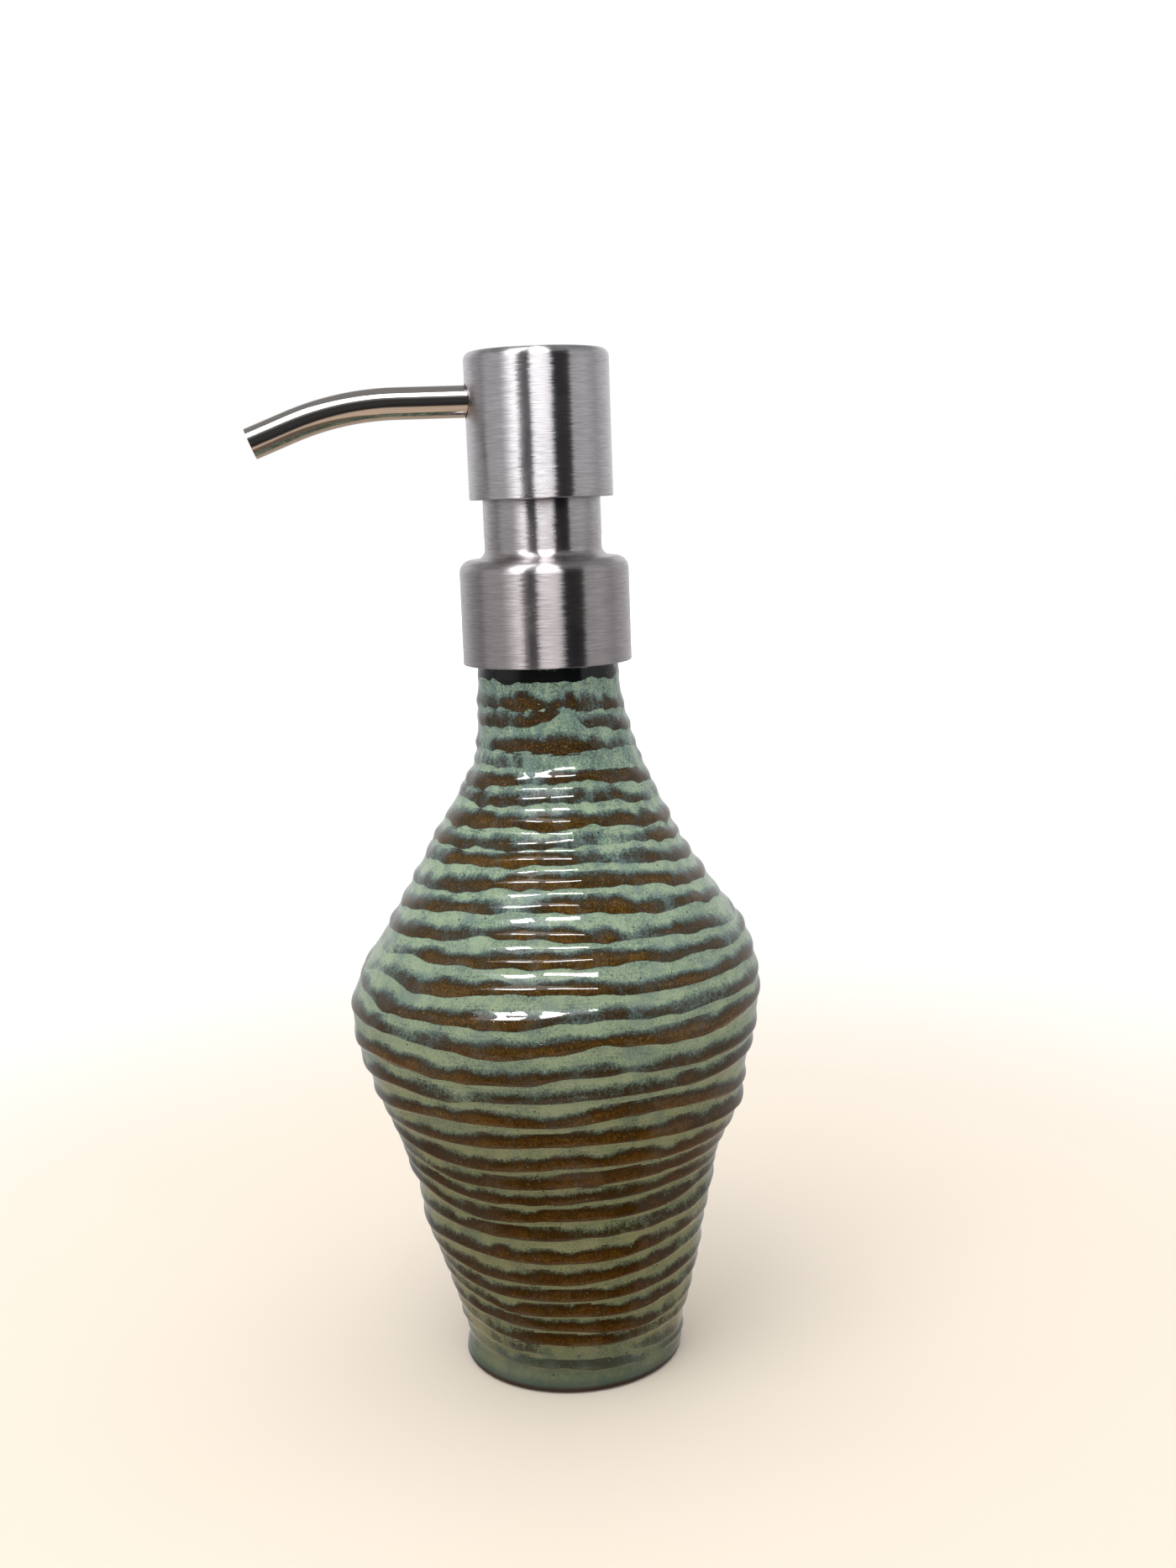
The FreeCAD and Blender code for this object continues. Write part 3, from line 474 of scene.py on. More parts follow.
def rescaled(tree, value, low, high, to_low=0.0, to_high=1.0):
    inputs = {
        "Value": value, "From Min": low, "From Max": high, "To Min": to_low, "To Max": to_high,
    }
    return put(tree, "ShaderNodeMapRange", inputs, interpolation_type="SMOOTHSTEP").outputs[0]


def between(tree, share, first, second):
    """Mix of two numbers, which are sockets 2 and 3 of the node."""
    return put(tree, "ShaderNodeMix", {0: share, 2: first, 3: second}).outputs[0]


def mixed(tree, share, first, second, blend="MIX"):
    """Mix of two colours, which are sockets 6 and 7 of the same node."""
    inputs = {0: share, 6: first, 7: second}
    return put(tree, "ShaderNodeMix", inputs, data_type="RGBA", blend_type=blend).outputs[2]


def grey(tree, value):
    return put(tree, "ShaderNodeCombineColor", {0: value, 1: value, 2: value}).outputs[0]


def noise(tree, vector, scale=1.0, detail=2.0, roughness=0.5):
    inputs = {"Vector": vector, "Scale": scale, "Detail": detail, "Roughness": roughness}
    return put(tree, "ShaderNodeTexNoise", inputs).outputs["Fac"]


def linear(red, green, blue):
    """Linear colour of an 0 to 255 display colour, by the sRGB curve."""
    def channel(value):
        value /= 255.0
        return value / 12.92 if value <= 0.04045 else ((value + 0.055) / 1.055) ** 2.4
    return (channel(red), channel(green), channel(blue), 1.0)


def linear_ramp(tree, factor, stops):
    """Colour ramp through stops of (position, linear colour)."""
    node = put(tree, "ShaderNodeValToRGB", {"Fac": factor})
    elements = node.color_ramp.elements
    while len(elements) < len(stops):
        elements.new(1.0)
    for element, (position, colour) in zip(elements, stops):
        element.position = position
        element.color = colour
    return node.outputs["Color"]


def ramp(tree, factor, stops):
    """Colour ramp through stops of (position, (red, green, blue))."""
    return linear_ramp(tree, factor, [(position, linear(*colour)) for position, colour in stops])


def object_axes(tree):
    place = put(tree, "ShaderNodeTexCoord").outputs["Object"]
    parts = separated(tree, place)
    return place, parts["X"], parts["Y"], parts["Z"]


def axis_distance(tree):
    _, x, y, _ = object_axes(tree)
    return maths(tree, "SQRT", total(tree, product(tree, x, x), product(tree, y, y)))


def round_the_axis(tree, around, along, from_radius=0.0):
    """Texture space wrapped about Z: its units are `around` per radian and `along` per metre.

    The radius counts as height in the share `from_radius`, for tops and other level faces.
    """
    _, x, y, z = object_axes(tree)
    outward = vector_maths(tree, "NORMALIZE", combined(tree, X=x, Y=y, Z=0.0))
    run = total(tree, z, product(tree, axis_distance(tree), from_radius))
    lift = combined(tree, Z=product(tree, run, along))
    return vector_maths(tree, "ADD", scaled(tree, outward, around), lift)


def bump(tree, height, distance, strength=1.0, over=None):
    inputs = {"Height": height, "Distance": distance, "Strength": strength}
    if over is not None:
        inputs["Normal"] = over
    return put(tree, "ShaderNodeBump", inputs).outputs[0]


def material(name):
    """New material, its node tree and its Principled shader."""
    made = bpy.data.materials.new(name)
    made.use_nodes = True
    tree = made.node_tree
    tree.nodes.clear()
    shader = put(tree, "ShaderNodeBsdfPrincipled")
    put(tree, "ShaderNodeOutputMaterial", {"Surface": shader.outputs[0]})
    return made, tree, shader


def connect(tree, shader, **sockets):
    """Links sockets to the shader's inputs, whose names have _ for a space."""
    for name, value in sockets.items():
        tree.links.new(value, shader.inputs[name.replace("_", " ")])


def adjust(shader, **values):
    """Sets inputs of the shader, named as for connect."""
    for name, value in values.items():
        shader.inputs[name.replace("_", " ")].default_value = value


# ---- stoneware glaze: colours ---------------------------------------------------------
# (band, display colour). The band is 0 where the glaze pools and 1 where it breaks to brown.
UPPER_GLAZE = (
    (0.0, (148, 165, 138)), (0.12, (131, 150, 127)), (0.24, (98, 118, 108)),
    (0.40, (77, 89, 86)), (0.53, (61, 62, 55)), (0.65, (53, 44, 27)),
    (0.80, (62, 46, 19)), (1.0, (86, 64, 28)),
)
LOWER_GLAZE = (
    (0.0, (117, 118, 84)), (0.14, (104, 108, 78)), (0.26, (80, 86, 68)),
    (0.38, (60, 60, 44)), (0.48, (50, 40, 20)), (0.58, (46, 30, 8)),
    (0.78, (54, 34, 7)), (1.0, (74, 49, 14)),
)
SLATE_BLUE = (96, 116, 120)
SLATE_GREEN = (74, 88, 80)
SLATE_GREEN_SHARE = 0.6
IRON_BROWN = (34, 26, 18)
IRON_SHARE = 0.8
# pale crystal flecks in the glaze, whitened to stand in for their glints: painted glints
CRYSTAL_GLINT_WHITE = (150, 146, 128)
# heights in metres
GLAZE_CHANGE = (0.046, 0.104)
FOOT_EDGE = (0.0009, 0.0019)
FOOT_LINE = (0.0016, 0.0036)
FOOT_TEAL = (0.006, 0.011)
# just under the collar, where the dark glaze is darkened further by a painted shadow of the collar
UNDER_COLLAR_SHADE = (0.1405, 0.1422)
THIN_NECK = (0.112, 0.130)
# Colours that lie over the glaze, one over the other. Each one's share is a product of
# (measure, from, to, value at from, value at to).
GLAZE_LAYERS = (
    ((42, 34, 22), ("z", *THIN_NECK, 0.0, 1.0), ("band", 0.35, 0.75, 0.0, 0.7)),
    ((142, 100, 42), ("sparkle", 0.53, 0.68, 0.0, 1.0), ("band", 0.58, 0.8, 0.0, 0.5),
     ("z", *GLAZE_CHANGE, 0.4, 1.0)),
    ((26, 18, 8), ("sparkle", 0.33, 0.47, 1.0, 0.0), ("band", 0.2, 0.6, 0.0, 0.65)),
    ((60, 68, 62), ("z", *FOOT_LINE, 0.8, 0.0)),
    ((72, 86, 78), ("z", *FOOT_TEAL, 1.0, 0.0), ("clouds", 0.3, 0.7, 0.35, 0.65)),
    # dark glaze under the collar with a painted shadow of the collar over it
    ((9, 13, 15), ("z", *UNDER_COLLAR_SHADE, 0.0, 1.0), ("band", 0.2, 0.45, 0.0, 0.95)),
    ((46, 30, 14), ("z", *FOOT_EDGE, 1.0, 0.0)),
)

# ---- stoneware glaze: patterns --------------------------------------------------------
# texture units (per radian, per metre)
STREAKS = (34.0, 800.0)
CLOUDS = (7.0, 260.0)
EDGE_WANDER = (22.0, 300.0)
THIN_GLAZE = (3.0, 90.0)
SLATE = (6.0, 150.0)
# texture units per metre
GRAIN = 2600.0
SPARKLE = 3000.0
ORANGE_PEEL = 900.0
# (cells per metre, where a spot ends and where it is gone in a cell, share of empty cells)
IRON_SPOTS = (620.0, 0.10, 0.17, 0.80)
# the pale crystal flecks, painted as glints
CRYSTAL_GLINT_FLECKS = (900.0, 0.07, 0.13, 0.86)
# how much each pattern moves the band
EDGE_SWING = 0.25
STREAK_SWING = 0.6
CLOUD_SWING = 0.7
GRAIN_SWING = 0.75
BROWNEST = 0.86
THIN_NECK_BAND = 0.1
# (from, to, value at from, value at to)
EDGE_CUT = (0.6, 0.85, 0.0, 1.0)
SWING_BY_FADE = (0.02, 0.22, 0.0, 1.0)
THIN_BAND = (0.36, 0.64, 0.0, 0.17)
SLATE_PATCHES = (0.5, 0.66, 0.0, 1.0)
SLATE_BY_BAND = (0.1, 0.6, 0.5, 0.15)
CRYSTAL_GLINTS_BY_BAND = (0.2, 0.4, 0.0, 0.6)
# (depth in metres, strength)
PEEL_RELIEF = (0.00004, 0.2)
PIT_RELIEF = (0.00008, 0.5)
GLAZE_IOR = 1.52
GLAZE_SPECULAR = 0.3
FOOT_ROUGHNESS = 0.5


def glaze_band(tree, place, clouds, z):
    """How far the glaze has gone from pooled, at 0, to broken brown, at 1."""
    edge = put(tree, "ShaderNodeAttribute", attribute_name="edge_below").outputs["Fac"]
    fade = put(tree, "ShaderNodeAttribute", attribute_name="fade_above").outputs["Fac"]
    streaks = noise(tree, round_the_axis(tree, *STREAKS), detail=3.0, roughness=0.7)
    wander = noise(tree, round_the_axis(tree, *EDGE_WANDER))
    grain = noise(tree, place, GRAIN, roughness=0.7)
    thin = noise(tree, round_the_axis(tree, *THIN_GLAZE), detail=4.0, roughness=0.6)
    crisp = rescaled(tree, total(tree, edge, swing(tree, wander, EDGE_SWING)), *EDGE_CUT)
    loose = total(tree, swing(tree, streaks, STREAK_SWING), swing(tree, clouds, CLOUD_SWING))
    loose = product(tree, loose, rescaled(tree, fade, *SWING_BY_FADE))
    band = product(tree, total(tree, product(tree, fade, BROWNEST), loose), crisp)
    uneven = rescaled(tree, product(tree, total(tree, clouds, thin), 0.5), *THIN_BAND)
    uneven = total(tree, uneven, rescaled(tree, z, *THIN_NECK, 0.0, THIN_NECK_BAND))
    uneven = product(tree, uneven, maths(tree, "SUBTRACT", 1.0, band, clamp=True))
    speckles = swing(tree, grain, GRAIN_SWING)
    return maths(tree, "ADD", total(tree, band, uneven), speckles, clamp=True)


def pooled_and_broken(tree, band, z):
    """The glaze's own colours, olive low down and green above, with slate patches."""
    patches = noise(tree, round_the_axis(tree, *SLATE), detail=4.0, roughness=0.65)
    patches = rescaled(tree, patches, *SLATE_PATCHES)
    slate = product(tree, patches, rescaled(tree, band, *SLATE_BY_BAND))
    upper = mixed(tree, slate, ramp(tree, band, UPPER_GLAZE), linear(*SLATE_BLUE))
    slate = product(tree, slate, SLATE_GREEN_SHARE)
    lower = mixed(tree, slate, ramp(tree, band, LOWER_GLAZE), linear(*SLATE_GREEN))
    return mixed(tree, rescaled(tree, z, *GLAZE_CHANGE), lower, upper)


def scattered_spots(tree, place, cells, end, gone, empty):
    """1 in small round spots, 0 between them."""
    inputs = {"Vector": place, "Scale": cells}
    spots = put(tree, "ShaderNodeTexVoronoi", inputs, feature="F1").outputs
    chosen = maths(tree, "GREATER_THAN", separated(tree, spots["Color"])[0], empty)
    return product(tree, rescaled(tree, spots["Distance"], end, gone, 1.0, 0.0), chosen)


def glaze_material():
    made, tree, shader = material("stoneware_glaze")
    place, _, _, z = object_axes(tree)
    clouds = noise(tree, round_the_axis(tree, *CLOUDS), detail=3.0)
    band = glaze_band(tree, place, clouds, z)
    sparkle = noise(tree, place, SPARKLE, roughness=0.8)
    measures = {"z": z, "band": band, "clouds": clouds, "sparkle": sparkle}
    colour = pooled_and_broken(tree, band, z)
    for layer, *factors in GLAZE_LAYERS:
        shares = [rescaled(tree, measures[name], *span) for name, *span in factors]
        colour = mixed(tree, product(tree, *shares), colour, linear(*layer))
    iron = product(tree, scattered_spots(tree, place, *IRON_SPOTS), IRON_SHARE)
    colour = mixed(tree, iron, colour, linear(*IRON_BROWN))
    # painted glints: whitish flecks for the glints of crystals on the brown bands
    pale = scattered_spots(tree, place, *CRYSTAL_GLINT_FLECKS)
    pale = product(tree, pale, rescaled(tree, band, *CRYSTAL_GLINTS_BY_BAND))
    colour = mixed(tree, pale, colour, linear(*CRYSTAL_GLINT_WHITE))
    roughness = rescaled(tree, z, *FOOT_EDGE, FOOT_ROUGHNESS, 0.0)
    peel = bump(tree, noise(tree, place, ORANGE_PEEL, detail=3.0), *PEEL_RELIEF)
    pits = bump(tree, maths(tree, "SUBTRACT", 1.0, iron), *PIT_RELIEF, over=peel)
    adjust(shader, IOR=GLAZE_IOR, Specular_IOR_Level=GLAZE_SPECULAR)
    connect(tree, shader, Base_Color=colour, Roughness=roughness, Normal=pits)
    return made


# ---- metals ---------------------------------------------------------------------------
# texture units (per radian, per metre) and the share of the radius that counts as height
BRUSHING = (4.0, 6000.0, 1.0)
HAIRS = (3.0, 3400.0, 1.0)
HAIR_LEAN = 0.09
HANDLING = 160.0
BRUSHED_TONES = ((0.25, (180, 177, 180)), (0.75, (220, 217, 221)))
# painted shade: the steel is darker lower down, fully so on the collar, as less light from above
# reaches it
COLLAR_SHADE = (0.79, 0.76, 0.74, 1.0)
# heights in metres between which the painted shade on the collar ends
COLLAR_TO_HEAD = (0.158, 0.186)
# (middle, half width) in metres of the inside wall of the head's cup, which is painted near black
# as shade
HEAD_INSIDE_RADIUS = (0.0131, 0.0006)
HEAD_INSIDE_HEIGHT = (0.185, 0.015)
HEAD_INSIDE_SHADE = (0.04, 0.04, 0.04, 1.0)
ANISOTROPY_TURN = 0.25
# texture units per metre
TUBE_LINES = {"X": 120.0, "Y": 5000.0, "Z": 5000.0}
WIRE_LINES = 3000.0
TUBE_TONES = ((0.25, (186, 180, 175)), (0.75, (208, 202, 198)))
BRIGHT_TONES = ((0.3, (196, 196, 198)), (0.7, (216, 216, 218)))
# (noise from, noise to, roughness at from, roughness at to)
BRUSHED_ROUGHNESS = (0.3, 0.7, 0.25, 0.28)
BRIGHT_ROUGHNESS = (0.3, 0.7, 0.08, 0.18)
# (depth in metres, strength)
BRUSHED_RELIEF = (0.00002, 0.15)
TUBE_RELIEF = (0.000004, 0.5)
BRIGHT_RELIEF = (0.00001, 0.3)


def brushed_steel():
    """Steel brushed around the axis, its fine hairs leaning a little to either side."""
    made, tree, shader = material("brushed_steel")
    place, _, _, z = object_axes(tree)
    brushing = noise(tree, round_the_axis(tree, *BRUSHING), roughness=0.6)
    tone = ramp(tree, brushing, BRUSHED_TONES)
    # painted shade: the steel darkens from the head down to the collar
    shaded_lower = mixed(tree, 1.0, tone, COLLAR_SHADE, blend="MULTIPLY")
    tone = mixed(tree, rescaled(tree, z, *COLLAR_TO_HEAD), shaded_lower, tone)
    # painted shade: the steel inside the head's cup is made near black
    in_the_wall = within(tree, axis_distance(tree), *HEAD_INSIDE_RADIUS)
    inside = product(tree, in_the_wall, within(tree, z, *HEAD_INSIDE_HEIGHT))
    tone = mixed(tree, inside, tone, HEAD_INSIDE_SHADE)
    roughness = rescaled(tree, noise(tree, place, HANDLING, detail=3.0), *BRUSHED_ROUGHNESS)
    tangent = put(tree, "ShaderNodeTangent", direction_type="RADIAL", axis="Z").outputs[0]
    hairs = noise(tree, round_the_axis(tree, *HAIRS), detail=1.0)
    lean = scaled(tree, tangent, swing(tree, hairs, HAIR_LEAN))
    facing = put(tree, "ShaderNodeNewGeometry").outputs["Normal"]
    leaning = vector_maths(tree, "NORMALIZE", vector_maths(tree, "ADD", facing, lean))
    grooves = bump(tree, brushing, *BRUSHED_RELIEF, over=leaning)
    adjust(shader, Metallic=1.0, Anisotropic=1.0, Anisotropic_Rotation=ANISOTROPY_TURN)
    connect(tree, shader, Base_Color=tone, Roughness=roughness, Normal=grooves, Tangent=tangent)
    return made


def polished_tube_steel():
    """Drawn steel tube: a mirror, with faint lines along its length."""
    made, tree, shader = material("polished_steel")
    _, *axes = object_axes(tree)
    stretched = {
        name: product(tree, axis, TUBE_LINES[name]) for name, axis in zip("XYZ", axes)
    }
    lines = noise(tree, combined(tree, **stretched), detail=3.0)
    relief = bump(tree, lines, *TUBE_RELIEF)
    adjust(shader, Metallic=1.0, Roughness=0.0)
    connect(tree, shader, Base_Color=ramp(tree, lines, TUBE_TONES), Normal=relief)
    return made


def bright_steel():
    """Bright drawn wire and ground balls."""
    made, tree, shader = material("bright_steel")
    lines = noise(tree, object_axes(tree)[0], WIRE_LINES, detail=3.0)
    tone = ramp(tree, lines, BRIGHT_TONES)
    roughness = rescaled(tree, lines, *BRIGHT_ROUGHNESS)
    relief = bump(tree, lines, *BRIGHT_RELIEF)
    adjust(shader, Metallic=1.0)
    connect(tree, shader, Base_Color=tone, Roughness=roughness, Normal=relief)
    return made


# ---- plastics and rubber --------------------------------------------------------------
# texture units per metre, and for the flow marks as for the brushing
CLOUDINESS = 220.0
TEXTURE = 2400.0
FLOW_MARKS = (1.5, 900.0, 1.0)
FLOW_RELIEF = (0.00004, 0.3)
TEXTURE_STRENGTH = 0.5
# (dark and light display colour, smoothest and roughest roughness, depth in metres of the
# texture, share of light let through)
MOULDED = {
    "white_plastic": ((222, 221, 216), (236, 235, 231), 0.34, 0.48, 0.00003, 0.0),
    "natural_plastic": ((206, 210, 206), (224, 227, 223), 0.24, 0.36, 0.00002, 0.35),
    "black_plastic": ((20, 20, 21), (30, 30, 31), 0.35, 0.5, 0.00003, 0.0),
    "soft_seal": ((34, 34, 34), (46, 45, 44), 0.6, 0.8, 0.00005, 0.0),
}


def moulded(name, dark, light, smooth, rough, depth, see_through):
    """Moulded surface: cloudy tone, fine texture and flow marks around the axis."""
    made, tree, shader = material(name)
    place = object_axes(tree)[0]
    tone = ramp(tree, noise(tree, place, CLOUDINESS, detail=3.0), ((0.3, dark), (0.7, light)))
    flow = noise(tree, round_the_axis(tree, *FLOW_MARKS))
    roughness = rescaled(tree, flow, 0.3, 0.7, smooth, rough)
    texture = bump(tree, noise(tree, place, TEXTURE), depth, TEXTURE_STRENGTH)
    relief = bump(tree, flow, *FLOW_RELIEF, over=texture)
    adjust(shader, Transmission_Weight=see_through)
    connect(tree, shader, Base_Color=tone, Roughness=roughness, Normal=relief)
    return made


def dress_frame():
    """Gives every CAD node the material of its slot."""
    looks = {
        "stoneware_glaze": glaze_material(),
        "brushed_steel": brushed_steel(),
        "polished_steel": polished_tube_steel(),
        "bright_steel": bright_steel(),
    }
    for name, surface in MOULDED.items():
        looks[name] = moulded(name, *surface)
    for part in frame["record"]["subparts"]:
        node = frame["nodes"][part["node"]]
        node.data.materials.clear()
        node.data.materials.append(looks[part["material_slot"]])
    return looks


# ---- stage ----------------------------------------------------------------------------
FLOOR_NEAR = 0.42
FLOOR_FAR = 6.0
FLOOR_COLUMNS = 96
WARM_FLOOR = ((232, 220, 204), (237, 226, 211))
PALE_FLOOR = (246, 245, 245)
FLOOR_CLOUDS = 9.0
FLOOR_ROUGHNESS = 0.6
FLOOR_SPECULAR = 0.2
# distances in metres over which the floor turns pale, and over which it glows up, with its
# glow at each of them
WARM_TO_PALE = (0.12, 0.40)
GLOW = (0.5, 1.6, 0.0, 0.5)


def ring_floor(name, *radii):
    """Flat rings about the axis, from the outermost radius inwards. One of 0 closes them."""
    vertices = []
    for radius in radii:
        for column in range(FLOOR_COLUMNS):
            angle = 2 * math.pi * column / FLOOR_COLUMNS
            vertices.append((radius * math.cos(angle), radius * math.sin(angle), 0.0))
    mesh = bpy.data.meshes.new(name)
    mesh.from_pydata(vertices, [], faces_between_rings(len(radii), FLOOR_COLUMNS))
    floor = new_object(name, mesh)
    return floor


def floor_material():
    """Matt floor, warm under the object and pale further out, where it fades into white."""
    made, tree, shader = material("floor")
    place = object_axes(tree)[0]
    away = measured(tree, "LENGTH", place)
    darker, lighter = (linear(*colour) for colour in WARM_FLOOR)
    warm = mixed(tree, noise(tree, place, FLOOR_CLOUDS), darker, lighter)
    colour = mixed(tree, rescaled(tree, away, *WARM_TO_PALE), warm, linear(*PALE_FLOOR))
    adjust(shader, Roughness=FLOOR_ROUGHNESS, Specular_IOR_Level=FLOOR_SPECULAR,
           Emission_Color=WHITE)
    connect(tree, shader, Base_Color=colour, Emission_Strength=rescaled(tree, away, *GLOW))
    return made


def make_stage():
    look = floor_material()
    near = ring_floor("floor_near", FLOOR_NEAR, FLOOR_NEAR / 3, 0.0)
    far = ring_floor("floor_far", FLOOR_FAR, FLOOR_NEAR)
    for floor in (near, far):
        floor.data.materials.append(look)
        floor.visible_glossy = False


# ---- room that the object mirrors -----------------------------------------------------
# (azimuth from the camera in degrees, brightness) of the walls
WALLS = (
    (-180, 0.8), (-140, 0.8), (-118, 0.5), (-100, 0.36), (-88, 0.6), (-64, 0.66),
    (-54, 0.5), (-44, 0.12), (-28, 0.06), (22, 0.06), (27, 0.0), (52, 0.0), (57, 0.64),
    (80, 0.68), (104, 0.5), (122, 0.65), (150, 0.8), (180, 0.8),
)
# (azimuth, share) of the daylight that brushed steel spreads up and down from the windows
DAYLIGHT = (
    (-62, 0.0), (-55, 0.35), (-48, 0.9), (-42, 1.25), (-35, 1.2), (-30, 0.0), (-13, 0.0),
    (-9, 1.08), (20, 0.97), (26, 0.0),
)
# full scale of the two ramps made of these
BRIGHTEST = 2.0
# (elevation from, to, and the factor at each)
WALLS_BY_ELEVATION = (-20.0, 6.0, 0.6, 1.0)
DAYLIGHT_BY_ELEVATION = (-6.0, 46.0, 0.12, 6.1)
CEILING = 0.32
CEILING_BY_ELEVATION = (24.0, 38.0, 0.0, 1.0)
TABLE = (0.80, 0.62, 0.48)
TABLE_BY_ELEVATION = (-36.0, -22.0, 1.0, 0.0)
# least light on the table, as sharp mirrors see it
TABLE_SHADE = 0.25
# what brushed steel mirrors of the table where nothing lights it
STEEL_SHADE = (0.07, 0.07, 0.10, 1.0)
# window that the tube mirrors: azimuth, half width, elevation and half height in degrees,
# and brightness
TUBE_WINDOW = (-22.0, 42.0, 57.0, 15.0, 4.0)
# (height of the direction from, to, and the brightness at each) of the dome that lights
DOME = (-0.2, 0.9, 0.63, 1.215)


def round_the_room(tree, turn, stops):
    """Brightness by azimuth through stops of (degrees, brightness)."""
    greys = [
        ((degrees + 180) / 360, (value / BRIGHTEST,) * 3 + (1.0,)) for degrees, value in stops
    ]
    return product(tree, linear_ramp(tree, turn, greys), BRIGHTEST)


def mirrored_room(tree, toward, height, sharp):
    """Room and table. Sharp mirrors see one window in them, brushed steel spread daylight."""
    front = (math.sin(CAMERA_AZIMUTH), -math.cos(CAMERA_AZIMUTH), 0.0)
    right = (math.cos(CAMERA_AZIMUTH), math.sin(CAMERA_AZIMUTH), 0.0)
    across = measured(tree, "DOT_PRODUCT", toward, right)
    ahead = measured(tree, "DOT_PRODUCT", toward, front)
    azimuth = maths(tree, "DEGREES", maths(tree, "ARCTAN2", across, ahead))
    elevation = maths(tree, "DEGREES", maths(tree, "ARCSINE", height))
    turn = maths(tree, "DIVIDE", total(tree, azimuth, 180.0), 360.0)
    windows = round_the_room(tree, turn, DAYLIGHT)
    walls = round_the_room(tree, turn, WALLS)
    walls = product(tree, walls, rescaled(tree, elevation, *WALLS_BY_ELEVATION))
    room = between(tree, rescaled(tree, elevation, *CEILING_BY_ELEVATION), walls, CEILING)
    daylight = product(tree, windows, rescaled(tree, elevation, *DAYLIGHT_BY_ELEVATION))
    spread = total(tree, room, daylight)
    middle, half, level, half_height, brightness = TUBE_WINDOW
    in_width = within(tree, azimuth, middle, half)
    in_window = product(tree, in_width, within(tree, elevation, level, half_height))
    room = between(tree, in_window, room, brightness)
    room = grey(tree, between(tree, sharp, spread, room))
    least = product(tree, sharp, TABLE_SHADE)
    lit = maths(tree, "ADD", total(tree, windows, walls), least, clamp=True)
    shade = mixed(tree, sharp, STEEL_SHADE, BLACK)
    table = vector_maths(tree, "ADD", scaled(tree, TABLE, lit), shade)
    return mixed(tree, rescaled(tree, elevation, *TABLE_BY_ELEVATION), room, table)


def make_world():
    """White to the camera, a soft dome to matt surfaces, and the room to mirroring ones."""
    world = bpy.data.worlds.new("studio")
    bpy.context.scene.world = world
    world.use_nodes = True
    tree = world.node_tree
    tree.nodes.clear()
    toward = put(tree, "ShaderNodeTexCoord").outputs["Generated"]
    height = separated(tree, toward)["Z"]
    path = put(tree, "ShaderNodeLightPath").outputs
    mirrored = mirrored_room(tree, toward, height, path["Is Singular Ray"])
    dome = grey(tree, rescaled(tree, height, *DOME))
    seen = mixed(tree, path["Is Glossy Ray"], dome, mirrored)
    seen = mixed(tree, path["Is Camera Ray"], seen, WHITE)
    background = put(tree, "ShaderNodeBackground", {"Color": seen})
    put(tree, "ShaderNodeOutputWorld", {"Surface": background.outputs[0]})


# ---- lamps ----------------------------------------------------------------------------
LAMPS_AIM = (0.0, 0.0, 0.08)
SOFTBOX_SIZE = 0.5
SOFTBOX_POWER = 1.9
SOFTBOX_PLACE = (-0.25, -0.35, 0.75)
# (azimuth from the camera, half width, elevation, half height) in degrees
GLAZE_WINDOWS = ((-36.0, 13.0, 50.0, 4.5), (8.0, 18.0, 50.0, 4.5))
GLAZE_WINDOW_BRIGHTNESS = 42.0
GLAZE_WINDOW_DISTANCE = 1.5


def hung_lamp(name, light, place):
    """Lamp at a place, turned to the object."""
    lamp = new_object(name, light)
    lamp.location = place
    aim = Vector(LAMPS_AIM) - Vector(place)
    lamp.rotation_euler = aim.to_track_quat("-Z", "Y").to_euler()
    return lamp


def make_light():
    """Large soft light above, a little to the left and in front."""
    light = bpy.data.lights.new("softbox", "AREA")
    light.shape = "DISK"
    light.size = SOFTBOX_SIZE
    light.energy = SOFTBOX_POWER
    hung_lamp("softbox", light, SOFTBOX_PLACE).visible_glossy = False


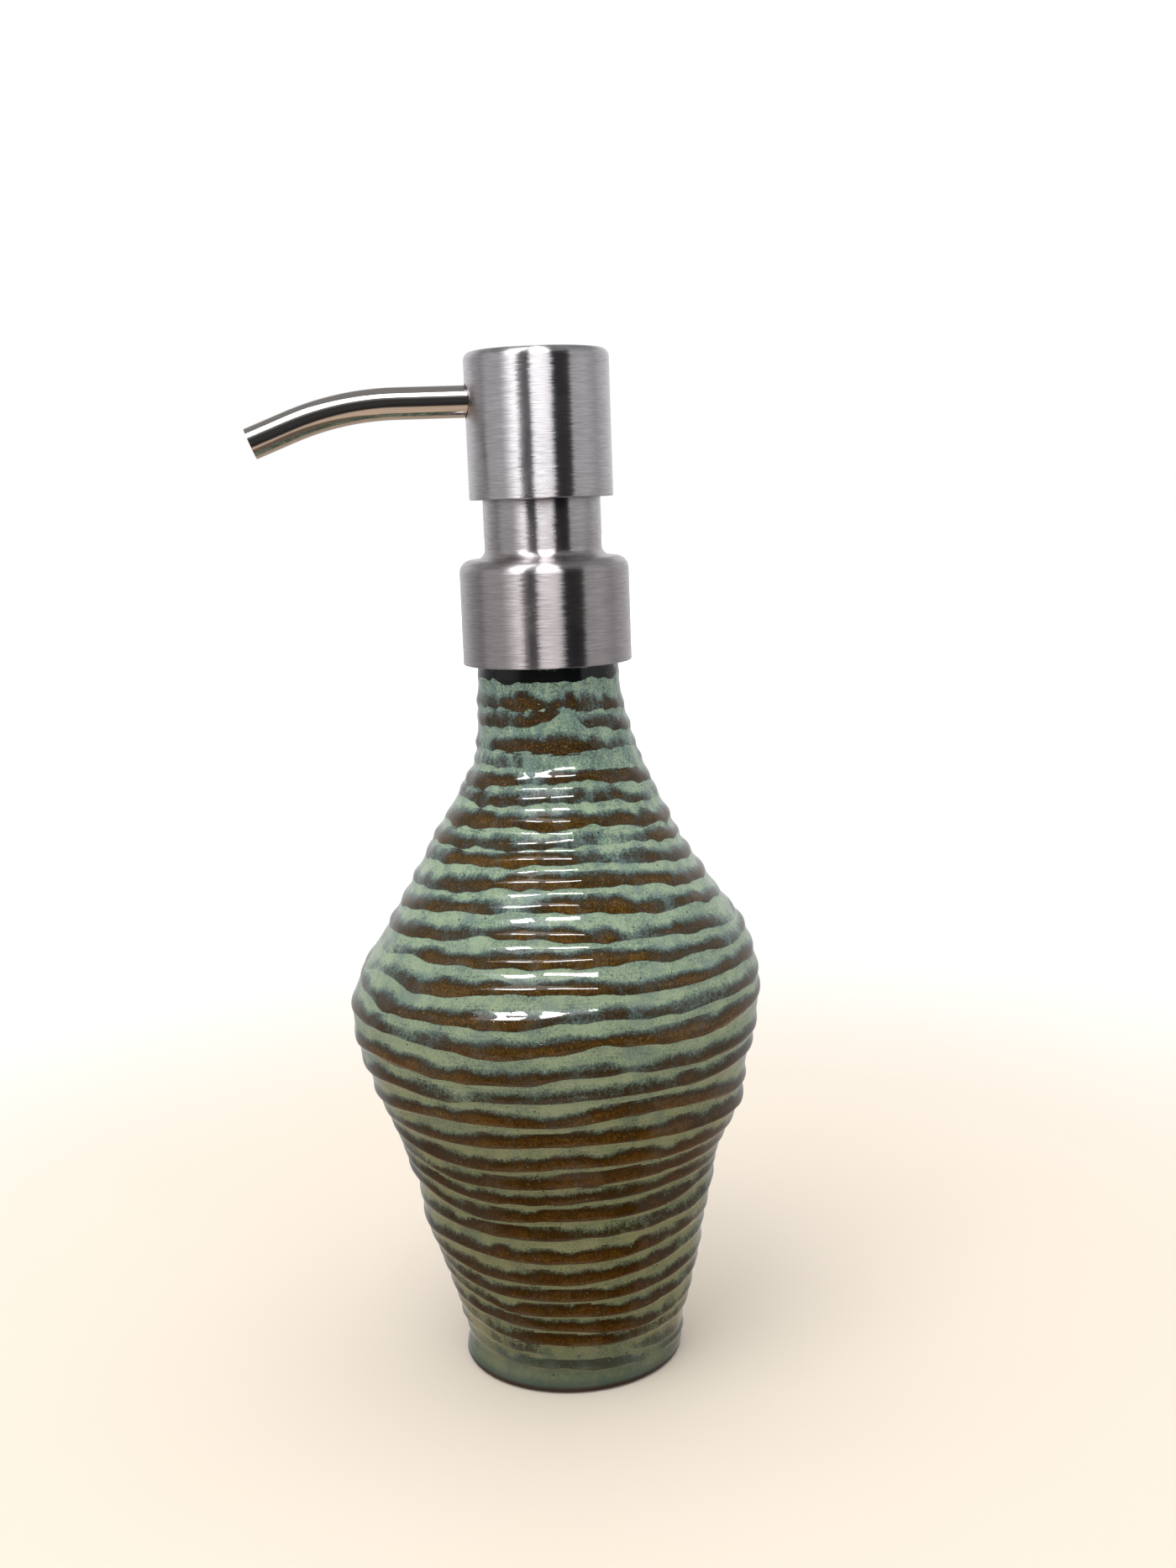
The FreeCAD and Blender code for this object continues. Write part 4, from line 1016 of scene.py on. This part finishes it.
def make_glaze_windows(bottle):
    """Bright windows that light only the bottle, and show only in its glaze."""
    mirrors = bpy.data.collections.new("window_mirrors")
    mirrors.objects.link(bottle)
    for window in GLAZE_WINDOWS:
        azimuth, half, elevation, half_height = (math.radians(angle) for angle in window)
        light = bpy.data.lights.new("window", "AREA")
        light.shape = "RECTANGLE"
        light.size = 2 * GLAZE_WINDOW_DISTANCE * math.tan(half) * math.cos(elevation)
        light.size_y = 2 * GLAZE_WINDOW_DISTANCE * math.tan(half_height)
        light.energy = GLAZE_WINDOW_BRIGHTNESS * math.pi * light.size * light.size_y
        turn = azimuth + CAMERA_AZIMUTH
        level = Vector((math.sin(turn), -math.cos(turn), 0)) * math.cos(elevation)
        away = level + Vector((0, 0, math.sin(elevation)))
        lamp = hung_lamp("window", light, Vector(LAMPS_AIM) + away * GLAZE_WINDOW_DISTANCE)
        lamp.visible_diffuse = False
        lamp.visible_camera = False
        lamp.light_linking.receiver_collection = mirrors


def make_camera():
    """Camera at the height, distance and tilt of the picture."""
    forward = Vector((
        math.sin(CAMERA_YAW) * math.cos(CAMERA_PITCH),
        math.cos(CAMERA_YAW) * math.cos(CAMERA_PITCH),
        -math.sin(CAMERA_PITCH),
    ))
    level = Vector((math.cos(CAMERA_YAW), -math.sin(CAMERA_YAW), 0))
    upward = level.cross(forward)
    right = level * math.cos(CAMERA_ROLL) - upward * math.sin(CAMERA_ROLL)
    top = level * math.sin(CAMERA_ROLL) + upward * math.cos(CAMERA_ROLL)
    basis = Matrix((right, top, -forward)).transposed().to_4x4()
    place = Matrix.Translation((0, -CAMERA_DISTANCE, CAMERA_HEIGHT))
    data = bpy.data.cameras.new("camera")
    data.lens = CAMERA_LENS
    data.clip_start = CAMERA_CLIP_START
    camera = new_object("camera", data)
    camera.matrix_world = Matrix.Rotation(CAMERA_AZIMUTH, 4, "Z") @ place @ basis
    bpy.context.scene.camera = camera


looks = dress_frame()
bottle = glazed_bottle()
bottle.data.materials.append(looks["stoneware_glaze"])
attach(bottle, "bottle")
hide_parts("bottle_body")
make_stage()
make_world()
make_light()
make_glaze_windows(bottle)
make_camera()
bpy.context.scene.view_settings.view_transform = "Standard"
